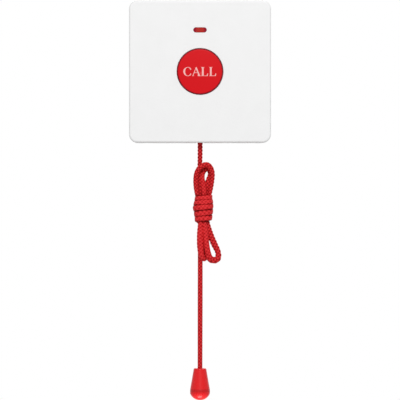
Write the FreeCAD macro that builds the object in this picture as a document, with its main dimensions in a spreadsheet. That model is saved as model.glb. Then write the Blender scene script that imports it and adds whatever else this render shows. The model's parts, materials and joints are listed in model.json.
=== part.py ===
import FreeCAD, Part
import math
import os
import re

import Sketcher
from FreeCAD import Placement, Rotation, Vector

# A wall-mounted panic button: a square housing with a large call button, an indicator
# window and a pull cord that carries a bell-shaped pull.
#
# Frame: X to the right, Z up, and the wall is the plane Y = 0. Depth is measured from
# the wall towards the room, so a piece at depth d lies at Y = -d. The origin is on the
# wall, behind the middle of the call button.

# Driving dimensions in millimetres: name, value, meaning
DIMENSIONS = [
    ("plate_side", 86, "side of the square cover"),
    ("plate_corner", 5, "corner radius of the cover, seen from the front"),
    ("cover_wall", 2.0, "side walls of the cover"),
    ("cover_front", 2.2, "front wall of the cover"),
    ("front_edge", 1.2, "rounding along the front edge"),
    ("wall_gap", 0.4, "rear edge of the cover off the wall"),
    ("nest_gap", 0.25, "rear plate inside the cover, each side"),
    ("fit_gap", 0.3, "running gap of the moving pieces"),
    ("seat_gap", 0.05, "gap between faces that rest on each other"),
    ("rear_floor", 2.0, "floor of the rear plate"),
    ("rim_height", 6.0, "wall to the top of the rear plate's rim"),
    ("rim_wall", 1.6, "thickness of the rim and of the ribs"),
    ("catch_x", 29, "middle of each snap catch from the centre line"),
    ("catch_width", 7, "width of a snap catch"),
    ("catch_reach", 1.3, "how far a catch stands in from the wall"),
    ("catch_depth", 3.1, "wall to the rear of a catch"),
    ("catch_height", 1.7, "height of a catch along the depth"),
    ("pry_width", 8, "notch for a screwdriver in the bottom wall"),
    ("pry_height", 1.2, "height of that notch"),
    ("slot_spacing", 60, "distance of the two wall screws"),
    ("slot_width", 4.2, "width of a wall screw slot"),
    ("slot_length", 8, "length of a wall screw slot, end to end"),
    ("button_diameter", 27.6, "call button"),
    ("button_gap", 0.3, "gap round the call button"),
    ("button_proud", 0.8, "call button above the cover"),
    ("button_crown", 0.3, "rise of the button's face to its middle"),
    ("button_edge", 0.9, "rounding of the button's edge"),
    ("button_wall", 1.6, "wall of the call button"),
    ("button_travel", 1.5, "how far the call button goes in"),
    ("opening_edge", 0.35, "rounding of the opening round the button"),
    ("flange_width", 1.6, "flange that keeps the button in, each side"),
    ("flange_height", 1.2, "thickness of that flange"),
    ("lug_reach", 1.1, "lug beyond the flange, which stops the button turning"),
    ("lug_width", 2.0, "width of a lug"),
    ("collar_wall", 1.4, "collar behind the cover that guides the flange"),
    ("collar_depth", 3.4, "depth of that collar"),
    ("spring_wire", 0.6, "wire of the button and return springs"),
    ("spring_radius", 5.2, "middle radius of the button spring"),
    ("post_diameter", 5, "post behind the button's face"),
    ("window_length", 8, "indicator window, end to end"),
    ("window_width", 3, "width of the indicator window"),
    ("window_gap", 0.1, "gap round the window"),
    ("window_lip", 1.3, "lip behind the cover round the window"),
    ("lip_height", 1.0, "thickness of that lip"),
    ("lamp_diameter", 3, "indicator lamp"),
    ("lamp_height", 5.3, "length of the lamp from the board"),
    ("lamp_inset", 2.35, "middle of the lamp and the window below the board's top"),
    ("board_width", 50, "circuit board"),
    ("board_margin", 0.6, "top edge of the board below the cell"),
    ("board_foot", 4.75, "bottom edge of the board above the rear plate's edge"),
    ("board_back", 4.6, "wall to the back of the board"),
    ("board_height", 1.6, "thickness of the board"),
    ("notch_width", 16.4, "notch in the board for the slider"),
    ("notch_room", 1.5, "room in that notch above the slider"),
    ("screw_x", 21.5, "board screws from the centre line"),
    ("screw_inset", 4.4, "board screws from the board's upper and lower edge"),
    ("screw_diameter", 2.0, "thread of a board screw"),
    ("screw_head", 3.8, "head of a board screw"),
    ("head_height", 1.3, "height of a screw head"),
    ("screw_length", 4.4, "length of a board screw under its head"),
    ("boss_diameter", 5, "boss under a board screw"),
    ("switch_side", 6, "side of a push switch"),
    ("switch_height", 3.5, "height of a push switch"),
    ("plunger_diameter", 3, "plunger of a push switch"),
    ("plunger_proud", 1.5, "plunger above its switch"),
    ("plunger_stroke", 0.3, "travel of a plunger"),
    ("chip_x", 13.5, "middle of the radio chip"),
    ("chip_z", 7, "middle of the radio chip"),
    ("chip_width", 4, "radio chip without its legs"),
    ("chip_length", 5, "radio chip along its row of legs"),
    ("chip_height", 1.5, "height of the radio chip"),
    ("leg_pitch", 1.27, "spacing of the chip's legs"),
    ("leg_width", 0.4, "width of a leg"),
    ("leg_reach", 1.0, "legs beyond the chip"),
    ("can_x", 11.5, "middle of the resonator left of the centre line"),
    ("can_z", 11, "middle of the resonator below the centre"),
    ("can_diameter", 8, "resonator can"),
    ("can_height", 3.0, "height of the resonator can"),
    ("can_brim", 0.5, "brim of the resonator can"),
    ("aerial_x", 20.6, "aerial coil left of the centre line"),
    ("aerial_bottom", 8, "lower end of the aerial below the centre"),
    ("aerial_length", 22, "length of the aerial coil"),
    ("aerial_radius", 2.2, "middle radius of the aerial coil"),
    ("cell_diameter", 10.3, "12 volt cell"),
    ("cell_room", 1.2, "room between the cell and the cover's front"),
    ("cell_margin", 0.7, "room between the cell and the rear plate's rim"),
    ("cell_length", 27.5, "12 volt cell without its nub"),
    ("cell_nub", 1.0, "nub at the cell's plus end"),
    ("nub_diameter", 4.4, "diameter of that nub"),
    ("saddle_x", 8, "saddles under the cell from the centre line"),
    ("saddle_height", 4, "height of a saddle above the floor"),
    ("contact_sheet", 0.4, "metal sheet of the cell's contacts"),
    ("contact_width", 7, "width of a contact"),
    ("contact_room", 3.3, "contacts below the cover's front"),
    ("contact_spring", 3.2, "length of the spring at the cell's minus end"),
    ("tab_reach", 2.4, "solder tab of a contact over the board"),
    ("tab_height", 1.6, "height of that tab"),
    ("cord_diameter", 3, "braided pull cord"),
    ("cord_slot", 5, "slot for the cord in the cover's bottom wall"),
    ("cord_travel", 4, "how far the cord pulls down"),
    ("slider_width", 11, "slider that the cord pulls"),
    ("slider_margin", 2.5, "slider's top below the collar"),
    ("slider_edge", 0.6, "rounding of the slider's edges"),
    ("slider_room", 1.1, "room in front of the slider"),
    ("knot_pocket", 6.4, "pocket for the knot in the slider's top"),
    ("pocket_depth", 5.6, "depth of that pocket"),
    ("spring_pocket", 7.6, "pocket for the return spring in the slider's foot"),
    ("web_height", 1.6, "wall between the two pockets"),
    ("cord_bore", 3.5, "bore for the cord"),
    ("knot_diameter", 5.4, "knots at the ends of the cord"),
    ("return_radius", 3.1, "middle radius of the return spring"),
    ("return_wire", 0.5, "wire of the return spring"),
    ("rail_wall", 1.3, "rails on both sides of the slider"),
    ("rail_depth", 8, "wall to the top of the rails"),
    ("runner_width", 5, "runner under the slider"),
    ("wing_reach", 15.2, "end of the slider's wing from the centre line"),
    ("wing_height", 2.0, "height of the wing"),
    ("wing_drop", 0.8, "wing below the slider's top"),
    ("wing_thick", 3.0, "thickness of the wing"),
    ("pull_switch_x", 12, "middle of the cord's switch"),
    ("bush_diameter", 6, "bush that the cord runs through"),
    ("bush_flange", 8, "flange of the bush"),
    ("bush_lip", 0.8, "thickness of that flange"),
    ("bush_round", 0.5, "rounding at the ends of the bush's bore"),
    ("gate_width", 13, "wall that holds the bush"),
    ("gate_wall", 2.0, "thickness of that wall"),
    ("gate_room", 1.2, "room between that wall and the cover's front"),
    ("bell_top", 180.3, "top of the pull below the centre"),
    ("bell_height", 14.0, "tapered part of the pull"),
    ("bell_neck", 7.8, "diameter of the pull at its top"),
    ("bell_mouth", 12.1, "diameter of the pull at its mouth"),
    ("bell_shoulder", 0.8, "rounding at the top of the pull"),
    ("bell_rim", 0.8, "straight rim at the mouth of the pull"),
    ("bell_wall", 1.2, "wall of the pull"),
    ("bell_roof", 2.4, "wall of the pull at its top"),
    ("plug_rim", 1.3, "straight rim of the plug under the pull"),
    ("dome_height", 4.1, "dome of that plug"),
    ("spigot_height", 2.2, "spigot of the plug inside the pull"),
    ("hank_x", 2, "axis of the hank right of the cord"),
    ("hank_top", 75.2, "top of the wound turns below the centre"),
    ("hank_pitch", 3.1, "height of one wound turn"),
    ("hank_radius", 5.75, "outer radius of the wound turns"),
    ("hank_waist", 4.9, "radius between two wound turns"),
]
HANK_TURNS = 5
BUTTON_SPRING_TURNS = 4
RETURN_SPRING_TURNS = 5
CONTACT_SPRING_TURNS = 3
AERIAL_TURNS = 8
CHIP_LEGS = 4

# Places that several pieces share, worked out from the dimensions: name, expression
PLACES = {
    "case_depth": "rear_floor + fit_gap + cell_diameter + cell_room + cover_front",
    "cord_depth": "case_depth / 2",
    "inside_half": "plate_side / 2 - cover_wall",
    "rear_half": "inside_half - nest_gap",
    "front_inside": "case_depth - cover_front",
    "contact_top": "front_inside - contact_room",
    "button_radius": "button_diameter / 2",
    "button_face": "case_depth + button_proud",
    "button_ceiling": "button_face - button_wall",
    "flange_radius": "button_radius + flange_width",
    "flange_front": "front_inside - seat_gap",
    "flange_back": "flange_front - flange_height",
    "collar_inside": "flange_radius + fit_gap",
    "collar_outside": "collar_inside + collar_wall",
    "cell_depth": "rear_floor + fit_gap + cell_diameter / 2",
    "cell_half": "(cell_length + cell_nub) / 2",
    "cell_z": "rear_half - rim_wall - cell_margin - cell_diameter / 2",
    "board_front": "board_back + board_height",
    "board_top": "cell_z - cell_diameter / 2 - board_margin",
    "board_bottom": "board_foot - rear_half",
    "window_z": "board_top - lamp_inset",
    "part_seat": "board_front + seat_gap",
    "screw_high": "board_top - screw_inset",
    "screw_low": "board_bottom + screw_inset",
    "plunger_root": "switch_height * 0.6",
    "plunger_top": "part_seat + switch_height + plunger_proud",
    "button_post": "plunger_top + button_travel - plunger_stroke",
    "gate_top": "gate_wall - rear_half",
    "bush_top": "gate_top + seat_gap + bush_lip",
    "slider_foot": "bush_top + cord_travel + fit_gap",
    "slider_top": "-collar_outside - slider_margin",
    "slider_height": "slider_top - slider_foot",
    "slider_thick": "2 * (front_inside - slider_room - cord_depth)",
    "slider_back": "cord_depth - slider_thick / 2",
    "web_bottom": "slider_top - pocket_depth - web_height",
    "web_top": "slider_top - pocket_depth",
    "notch_top": "slider_top + notch_room",
    "rail_top": "slider_top + fit_gap",
    "wing_under": "slider_top - wing_height - wing_drop",
    "pull_plunger_top": "wing_under - cord_travel + plunger_stroke",
    "pull_switch_top": "pull_plunger_top - plunger_proud",
    "pull_switch_depth": "part_seat + switch_side / 2",
    "bell_mouth_z": "-bell_top - bell_height",
    "bell_roof_z": "-bell_top - bell_roof",
    "knot_flat": "sqrt(knot_diameter ^ 2 - cord_diameter ^ 2) / 2",
    "knot_seat": "sqrt(knot_diameter ^ 2 - cord_bore ^ 2) / 2",
    "top_knot_z": "web_top + seat_gap + knot_seat",
    "end_knot_z": "bell_roof_z - seat_gap - knot_seat",
    "hank_bottom": f"-hank_top - hank_pitch * {HANK_TURNS}",
}

# The cord's routes, each point as x, depth and height
UPPER_ROUTE = [(0.1, 7.8, -50.5), (-0.9, 5.2, -59.0), (-1.6, 4.5, -67.0)]
UPPER_END = (-1.1, 5.3)
HANK_ARCH = [
    (-0.6, 9.3, -75.6), (-2.2, 9.6, -68.5), (-2.0, 10.4, -62.0), (0.6, 11.3, -57.2),
    (4.8, 10.9, -56.0), (7.6, 9.9, -60.2), (7.2, 9.3, -66.6), (4.9, 9.1, -75.6),
]
INNER_ARCH = [
    (1.9, 6.2, -76.0), (1.3, 6.4, -69.0), (1.3, 6.8, -62.6), (2.9, 7.0, -58.6),
    (5.6, 6.5, -58.6), (6.9, 6.0, -62.6), (6.1, 5.6, -68.5), (5.3, 5.1, -76.0),
]
HANK_BIGHT = [
    (1.0, 10.2, -89.2), (0.9, 10.1, -98.0), (0.9, 10.0, -105.5), (1.2, 10.0, -113.4),
    (3.3, 6.5, -113.4), (3.6, 6.2, -105.5), (3.3, 5.8, -98.0), (2.8, 5.4, -89.2),
]
HANK_LOOP = [
    (5.5, 7.0, -89.2), (6.5, 7.3, -96.4), (9.4, 7.7, -104.4), (11.4, 8.0, -109.8),
    (10.9, 8.2, -114.0), (6.6, 8.8, -114.5), (5.1, 9.5, -109.4), (4.4, 10.0, -103.0),
    (4.2, 10.1, -97.0), (4.1, 10.0, -89.2),
]
LOWER_START = (-0.3, 6.4)
LOWER_ROUTE = [(-0.2, 6.3, -117.0)]

# The directions that pieces stand in: local Z to the room, up, or to the right
FACING = Rotation(Vector(1, 0, 0), 90)
UPRIGHT = Rotation()
SIDEWAYS = Rotation(Vector(0, 1, 0), 90)
OUTPUT = "parts"
VOLUME_TOLERANCE = 0.02

doc = FreeCAD.newDocument("PanicButton")
sheet = doc.addObject("Spreadsheet::Sheet", "Sizes")
for row, (name, size, meaning) in enumerate(DIMENSIONS, start=1):
    sheet.set(f"A{row}", meaning)
    sheet.set(f"B{row}", str(size))
    sheet.setAlias(f"B{row}", name)
gauge = doc.addObject("App::FeaturePython", "Gauge")
gauge.addProperty("App::PropertyFloat", "Reading")
doc.recompute()

NAMES = {name for name, size, meaning in DIMENSIONS}
pieces = []


def bound(text, places="Places."):
    """Point each size or place that an expression names at its cell in its sheet."""
    homes = {**dict.fromkeys(NAMES, "Sizes."), **dict.fromkeys(PLACES, places)}
    return re.sub(r"[a-z_]+", lambda word: homes.get(word[0], "") + word[0], text)


worked_out = doc.addObject("Spreadsheet::Sheet", "Places")
for row, (name, expression) in enumerate(PLACES.items(), start=1):
    worked_out.set(f"A{row}", "=" + bound(expression, places=""))
    worked_out.setAlias(f"A{row}", name)
doc.recompute()


def number(text):
    """Read an expression as a number."""
    gauge.setExpression("Reading", bound(text))
    gauge.recompute()
    return gauge.Reading


def place(piece, x, depth, z, turn):
    """Put a piece at its place, bound to the sizes."""
    piece.Placement = Placement(Vector(number(x), -number(depth), number(z)), turn)
    for axis, text in (("x", x), ("y", f"-({depth})"), ("z", z)):
        piece.setExpression(f"Placement.Base.{axis}", bound(text))


def new_body(label, x="0", depth="0", z="0", turn=FACING):
    """Start a sub-part as a body of its own."""
    body = doc.addObject("PartDesign::Body", label)
    body.Label = label
    place(body, x, depth, z, turn)
    pieces.append(body)
    return body


def new_sketch(body, plane="XY_Plane", offset="0"):
    """Attach a sketch to one of the body's own planes, moved along the plane's normal."""
    sketch = body.newObject("Sketcher::SketchObject", f"{body.Label}_sketch")
    support = next(f for f in body.Origin.OriginFeatures if f.Role == plane)
    sketch.AttachmentSupport = [(support, "")]
    sketch.MapMode = "FlatFace"
    sketch.setExpression("AttachmentOffset.Base.z", bound(offset))
    return sketch


def pin(sketch, geometry, end, kind, text):
    """Hold one coordinate of a point at an expression, measured from the sketch's origin."""
    if text == "0":
        axis = -2 if kind == "DistanceX" else -1
        sketch.addConstraint(Sketcher.Constraint("PointOnObject", geometry, end, axis))
        return
    index = sketch.addConstraint(Sketcher.Constraint(kind, -1, 1, geometry, end, number(text)))
    sketch.setExpression(f"Constraints[{index}]", bound(text))


def draw(sketch, corners):
    """Draw a closed outline: a corner (x, y) ends a line, and (x, y, cx, cy) ends an arc
    about (cx, cy), anticlockwise unless a fifth value says otherwise."""
    points = [Vector(number(corner[0]), number(corner[1]), 0) for corner in corners]
    ends = []
    for index, corner in enumerate(corners):
        start, end = points[index - 1], points[index]
        if len(corner) == 2:
            geometry = sketch.addGeometry(Part.LineSegment(start, end), False)
            ends.append((geometry, 1, 2))
            continue
        centre = Vector(number(corner[2]), number(corner[3]), 0)
        clockwise = len(corner) == 5
        first, last = (end, start) if clockwise else (start, end)
        angles = [math.atan2(point.y - centre.y, point.x - centre.x) for point in (first, last)]
        if angles[1] <= angles[0]:
            angles[1] += 2 * math.pi
        circle = Part.Circle(centre, Vector(0, 0, 1), (start - centre).Length)
        geometry = sketch.addGeometry(Part.ArcOfCircle(circle, *angles), False)
        ends.append((geometry, 2, 1) if clockwise else (geometry, 1, 2))
    for index, corner in enumerate(corners):
        geometry, start, end = ends[index]
        before = ends[index - 1]
        sketch.addConstraint(Sketcher.Constraint("Coincident", before[0], before[2], geometry, start))
        pin(sketch, geometry, end, "DistanceX", corner[0])
        pin(sketch, geometry, end, "DistanceY", corner[1])
        if len(corner) > 2:
            chord = points[index] - points[index - 1]
            flat = abs(chord.x) > abs(chord.y)
            pin(sketch, geometry, 3, *(("DistanceY", corner[3]) if flat else ("DistanceX", corner[2])))


def draw_rectangle(sketch, left, bottom, right, top):
    """Draw a rectangle from its four sides."""
    draw(sketch, [(left, bottom), (right, bottom), (right, top), (left, top)])


def draw_rounded(sketch, half, radius):
    """Draw a square with round corners about the origin."""
    inner = f"({half} - {radius})"
    draw(sketch, [
        (f"-{half}", f"-{inner}"),
        (f"-{inner}", f"-{half}", f"-{inner}", f"-{inner}"),
        (inner, f"-{half}"),
        (half, f"-{inner}", inner, f"-{inner}"),
        (half, inner),
        (inner, half, inner, inner),
        (f"-{inner}", half),
        (f"-{half}", inner, f"-{inner}", inner),
    ])


def draw_slot(sketch, x, y, length, width):
    """Draw a slot with round ends that runs along the sketch's X."""
    reach = f"({length} - {width}) / 2"
    left, right = f"({x} - {reach})", f"({x} + {reach})"
    low, high = f"({y} - {width} / 2)", f"({y} + {width} / 2)"
    draw(sketch, [(right, low), (right, high, right, y), (left, high), (left, low, left, y)])


def draw_circle(sketch, x, y, radius):
    """Draw a circle."""
    centre = Vector(number(x), number(y), 0)
    circle = Part.Circle(centre, Vector(0, 0, 1), number(radius))
    geometry = sketch.addGeometry(circle, False)
    pin(sketch, geometry, 3, "DistanceX", x)
    pin(sketch, geometry, 3, "DistanceY", y)
    index = sketch.addConstraint(Sketcher.Constraint("Radius", geometry, number(radius)))
    sketch.setExpression(f"Constraints[{index}]", bound(radius))


def add_feature(body, kind, sketch):
    """Add a feature that works on a sketch."""
    feature = body.newObject(f"PartDesign::{kind}", f"{body.Label}_{kind}")
    feature.Profile = sketch
    sketch.Visibility = False
    return feature


def pad(body, sketch, length, back=False, both=False):
    """Raise a sketch by a length, along its normal, against it or to both sides."""
    feature = add_feature(body, "Pad", sketch)
    feature.setExpression("Length", bound(length))
    feature.Reversed = back
    feature.Midplane = both
    doc.recompute()
    return feature


def cut(body, sketch, length=None, along=False, both=False):
    """Sink a sketch by a length, or right through, against its normal or along it."""
    before = body.Shape.Volume
    feature = add_feature(body, "Pocket", sketch)
    feature.Reversed = along
    feature.Midplane = both
    if length is None:
        feature.Type = "ThroughAll"
    else:
        feature.setExpression("Length", bound(length))
    doc.recompute()
    if body.Shape.Volume >= before:
        raise RuntimeError(f"{feature.Name} takes nothing away")
    return feature


def revolve(body, sketch):
    """Turn a sketch about its own upright axis."""
    feature = add_feature(body, "Revolution", sketch)
    feature.ReferenceAxis = (sketch, ["V_Axis"])
    feature.Angle = 360
    doc.recompute()
    return feature


def fillet(body, base, wanted, radius):
    """Round the edges of a feature that a test picks out."""
    names = [f"Edge{i}" for i, edge in enumerate(base.Shape.Edges, start=1) if wanted(edge)]
    feature = body.newObject("PartDesign::Fillet", f"{body.Label}_Fillet")
    feature.Base = (base, names)
    feature.setExpression("Radius", bound(radius))
    doc.recompute()
    return feature


def mirror(body, feature, plane):
    """Repeat a feature on the other side of one of the body's planes."""
    copy = body.newObject("PartDesign::Mirrored", f"{body.Label}_Mirrored")
    copy.Originals = [feature]
    support = next(f for f in body.Origin.OriginFeatures if f.Role == plane)
    copy.MirrorPlane = (support, [""])
    body.Tip = copy
    doc.recompute()
    return copy


def both_sides(x):
    """An expression for a place on the right and its twin on the left."""
    return (x, f"(-({x}))")


SCREW_PLACES = [(x, z) for x in both_sides("screw_x") for z in ("screw_high", "screw_low")]


def make_front_cover():
    """The square cover, with the button's collar, two openings and four catches."""
    body = new_body("front_cover")
    outline = new_sketch(body, offset="wall_gap")
    draw_rounded(outline, "(plate_side / 2)", "plate_corner")
    block = pad(body, outline, "case_depth - wall_gap")
    front = number("case_depth") - number("seat_gap")
    fillet(body, block, lambda edge: edge.BoundBox.ZMin > front, "front_edge")
    cavity = new_sketch(body, offset="front_inside")
    draw_rounded(cavity, "inside_half", "(plate_corner - cover_wall)")
    cut(body, cavity)
    collar = new_sketch(body, offset="front_inside")
    draw_circle(collar, "0", "0", "collar_outside")
    draw_circle(collar, "0", "0", "collar_inside")
    pad(body, collar, "collar_depth", back=True)
    guides = new_sketch(body, offset="front_inside")
    side, half = "(collar_outside + fit_gap)", "(lug_width / 2 + fit_gap)"
    draw_rectangle(guides, f"(-{side})", f"(-{half})", side, half)
    cut(body, guides, "collar_depth")
    opening = new_sketch(body, offset="case_depth")
    draw_circle(opening, "0", "0", "(button_radius + button_gap)")
    hole = cut(body, opening)
    reach = number("button_radius + button_gap + seat_gap")
    fillet(body, hole, lambda edge: edge.BoundBox.ZMin > front and edge.BoundBox.XMax < reach
           and edge.BoundBox.XMin > -reach, "opening_edge")
    window = new_sketch(body, offset="case_depth")
    draw_slot(window, "0", "window_z", "(window_length + 2 * window_gap)",
              "(window_width + 2 * window_gap)")
    cut(body, window)
    cord_way = new_sketch(body, "XZ_Plane", "plate_side / 2")
    radius = "(cord_slot / 2)"
    draw(cord_way, [(f"(-{radius})", "0"), (radius, "0"), (radius, "cord_depth"),
                    (f"(-{radius})", "cord_depth", "0", "cord_depth")])
    cut(body, cord_way, "cover_wall + nest_gap")
    notch = new_sketch(body, "XZ_Plane", "plate_side / 2")
    draw_rectangle(notch, "(catch_x - catch_width - pry_width)", "0", "(catch_x - catch_width)",
                   "(wall_gap + pry_height)")
    cut(body, notch, "cover_wall + nest_gap")
    catches = new_sketch(body, "YZ_Plane", "catch_x")
    low, high = "catch_depth", "(catch_depth + catch_height)"
    for side in ("", "-"):
        draw(catches, [
            (f"{side}inside_half", low), (f"{side}inside_half", high),
            (f"{side}(inside_half - catch_reach)", high),
            (f"{side}(inside_half - catch_reach)", "(catch_depth + catch_height * 0.6)"),
        ])
    mirror(body, pad(body, catches, "catch_width", both=True), "YZ_Plane")


def make_rear_plate():
    """The plate on the wall, with what carries the board, the cell and the slider."""
    body = new_body("rear_plate")
    floor = new_sketch(body)
    corner = "(plate_corner - cover_wall - nest_gap)"
    draw_rounded(floor, "rear_half", corner)
    pad(body, floor, "rear_floor")
    rim = new_sketch(body, offset="rear_floor")
    draw_rounded(rim, "rear_half", corner)
    draw_rounded(rim, "(rear_half - rim_wall)", f"({corner} - rim_wall)")
    pad(body, rim, "rim_height - rear_floor")
    bosses = new_sketch(body, offset="rear_floor")
    for x, z in SCREW_PLACES:
        draw_circle(bosses, x, z, "(boss_diameter / 2)")
    pad(body, bosses, "board_back - rear_floor")
    holes = new_sketch(body, offset="board_back")
    for x, z in SCREW_PLACES:
        draw_circle(holes, x, z, "(screw_diameter / 2 + seat_gap)")
    cut(body, holes, "screw_length - board_height + fit_gap")

    cradle = new_sketch(body, offset="rear_floor")
    half = "(cell_diameter / 2 - 0.6)"
    low, high = f"(cell_z - {half})", f"(cell_z + {half})"
    for x in both_sides("saddle_x"):
        draw_rectangle(cradle, f"({x} - rim_wall / 2)", low, f"({x} + rim_wall / 2)", high)
    pad(body, cradle, "saddle_height")
    ends = new_sketch(body, offset="rear_floor")
    right = "(cell_half + contact_sheet + 2 * seat_gap)"
    left = "(-cell_half - contact_spring - contact_sheet - seat_gap)"
    draw_rectangle(ends, right, low, f"({right} + rim_wall)", high)
    draw_rectangle(ends, f"({left} - rim_wall)", low, left, high)
    pad(body, ends, "contact_top - rear_floor - 1")
    bed = new_sketch(body, "YZ_Plane")
    draw_circle(bed, "cell_z", "cell_depth", "(cell_diameter / 2 + seat_gap)")
    cut(body, bed, "2 * (saddle_x + rim_wall)", both=True)

    rails = new_sketch(body, offset="rear_floor")
    inner = "(slider_width / 2 + fit_gap)"
    rail_low, rail_high = "board_bottom", "rail_top"
    draw_rectangle(rails, inner, rail_low, f"({inner} + rail_wall)", rail_high)
    draw_rectangle(rails, f"(-{inner} - rail_wall)", rail_low, f"(-{inner})", rail_high)
    pad(body, rails, "rail_depth - rear_floor")
    runner = new_sketch(body, offset="rear_floor")
    draw_rectangle(runner, "(-runner_width / 2)", rail_low, "(runner_width / 2)", rail_high)
    pad(body, runner, "slider_back - fit_gap - rear_floor")
    gate = new_sketch(body, offset="rear_floor")
    draw_rectangle(gate, "(-gate_width / 2)", "(-rear_half)", "(gate_width / 2)", "gate_top")
    pad(body, gate, "front_inside - gate_room - rear_floor")
    bore = new_sketch(body, "XZ_Plane", "rear_half")
    draw_circle(bore, "0", "cord_depth", "(bush_diameter / 2 + seat_gap)")
    cut(body, bore, "gate_wall")

    slots = new_sketch(body, offset="rear_floor")
    for x in both_sides("slot_spacing / 2"):
        draw_slot(slots, x, "0", "slot_length", "slot_width")
    cut(body, slots)
    windows = new_sketch(body, "XZ_Plane", "rear_half")
    half = "(catch_width / 2 + fit_gap)"
    for x in both_sides("catch_x"):
        draw_rectangle(windows, f"({x} - {half})", "(catch_depth - fit_gap)", f"({x} + {half})",
                       "(catch_depth + catch_height + fit_gap)")
    mirror(body, cut(body, windows, "rim_wall"), "XZ_Plane")


def make_call_button():
    """The turned call button, with its post, its flange and two lugs."""
    body = new_body("call_button")
    profile = new_sketch(body, "XZ_Plane")
    inner = "(button_radius - button_wall)"
    seat = "(spring_radius - spring_wire)"
    rise = "((button_radius - button_edge) ^ 2 / (2 * button_crown) + button_crown / 2)"
    draw(profile, [
        ("0", "button_post"),
        ("(post_diameter / 2)", "button_post"),
        ("(post_diameter / 2)", "(button_ceiling - 1)"),
        (seat, "(button_ceiling - 1)"),
        (seat, "button_ceiling"),
        (inner, "button_ceiling"),
        (inner, "flange_back"),
        ("flange_radius", "flange_back"),
        ("flange_radius", "flange_front"),
        ("button_radius", "flange_front"),
        ("button_radius", "(button_face - button_edge)"),
        ("(button_radius - button_edge)", "button_face",
         "(button_radius - button_edge)", "(button_face - button_edge)"),
        ("0", "(button_face + button_crown)", "0", f"(button_face + button_crown - {rise})"),
    ])
    revolve(body, profile)
    lugs = new_sketch(body, offset="flange_back")
    root, tip = "(flange_radius - fit_gap)", "(flange_radius + lug_reach)"
    draw_rectangle(lugs, root, "(-lug_width / 2)", tip, "(lug_width / 2)")
    draw_rectangle(lugs, f"(-{tip})", "(-lug_width / 2)", f"(-{root})", "(lug_width / 2)")
    pad(body, lugs, "flange_height")


def make_coil(label, start, length, radius, wire, turns, turn):
    """A coil of wire: a ring of six sides carried along a helix."""
    helix = doc.addObject("Part::Helix", f"{label}_line")
    helix.setExpression("Radius", bound(radius))
    helix.setExpression("Height", bound(length))
    helix.setExpression("Pitch", bound(f"{length} / {turns}"))
    section = doc.addObject("Part::RegularPolygon", f"{label}_section")
    section.Polygon = 6
    section.setExpression("Circumradius", bound(f"{wire} / 2"))
    section.Placement = Placement(Vector(number(radius), 0, 0), FACING)
    section.setExpression("Placement.Base.x", bound(radius))
    coil = doc.addObject("Part::Sweep", label)
    coil.Label = label
    coil.Sections = [section]
    coil.Spine = (helix, [])
    coil.Solid = True
    coil.Frenet = True
    place(coil, *start, turn)
    pieces.append(coil)


def make_coils():
    """The springs under the button, the slider and the cell, and the aerial."""
    seat = "(spring_wire / 2 + seat_gap)"
    make_coil("button_spring", ("0", f"(board_front + {seat})", "0"),
              f"(button_ceiling - board_front - 2 * {seat})",
              "spring_radius", "spring_wire", BUTTON_SPRING_TURNS, FACING)
    seat = "(return_wire / 2 + seat_gap)"
    make_coil("return_spring", ("0", "cord_depth", f"(bush_top + {seat})"),
              f"(web_bottom - bush_top - 2 * {seat})",
              "return_radius", "return_wire", RETURN_SPRING_TURNS, UPRIGHT)
    make_coil("battery_spring", (f"(-cell_half - contact_spring + {seat})", "cell_depth", "cell_z"),
              f"(contact_spring - 2 * {seat})",
              "return_radius", "return_wire", CONTACT_SPRING_TURNS, SIDEWAYS)
    depth = "(part_seat + aerial_radius + return_wire / 2)"
    make_coil("antenna", ("(-aerial_x)", depth, "(-aerial_bottom)"), "aerial_length",
              "aerial_radius", "return_wire", AERIAL_TURNS, UPRIGHT)


def make_push_switch(label, turn, x, depth, z):
    """A square push switch with a bore for its plunger, which faces its local Z."""
    body = new_body(label, x, depth, z, turn)
    base = new_sketch(body)
    half = "(switch_side / 2)"
    draw_rectangle(base, f"(-{half})", f"(-{half})", half, half)
    pad(body, base, "switch_height")
    bore = new_sketch(body, offset="switch_height")
    draw_circle(bore, "0", "0", "(plunger_diameter / 2 + nest_gap)")
    cut(body, bore, "plunger_root + plunger_stroke + fit_gap")


def make_plunger(label, turn, x, depth, z):
    """The round plunger of a push switch."""
    body = new_body(label, x, depth, z, turn)
    base = new_sketch(body, offset="switch_height - plunger_root")
    draw_circle(base, "0", "0", "(plunger_diameter / 2)")
    pad(body, base, "plunger_root + plunger_proud")


def make_switches():
    """The switch under the button and the one under the slider's wing."""
    main = (FACING, "0", "part_seat", "0")
    make_push_switch("main_switch", *main)
    make_plunger("main_plunger", *main)
    pull = (UPRIGHT, "pull_switch_x", "pull_switch_depth", "(pull_switch_top - switch_height)")
    make_push_switch("pull_switch", *pull)
    make_plunger("pull_plunger", *pull)


def make_indicator():
    """The window in the cover and the lamp behind it."""
    window = new_body("led_window")
    lens = new_sketch(window, offset="front_inside")
    draw_slot(lens, "0", "window_z", "window_length", "window_width")
    pad(window, lens, "cover_front")
    lip = new_sketch(window, offset="front_inside - seat_gap")
    draw_slot(lip, "0", "window_z", "(window_length + 2 * window_lip)",
              "(window_width + 2 * window_lip)")
    pad(window, lip, "lip_height", back=True)
    neck = new_sketch(window, offset="front_inside - seat_gap")
    draw_slot(neck, "0", "window_z", "window_length", "window_width")
    pad(window, neck, "2 * seat_gap")
    lamp = new_body("led", depth="part_seat", z="window_z")
    profile = new_sketch(lamp, "XZ_Plane")
    radius, brim = "(lamp_diameter / 2)", "(lamp_diameter / 2 + 0.4)"
    draw(profile, [
        ("0", "0"), (brim, "0"), (brim, "1"), (radius, "1"), (radius, f"(lamp_height - {radius})"),
        ("0", "lamp_height", "0", f"(lamp_height - {radius})"),
    ])
    revolve(lamp, profile)


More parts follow.
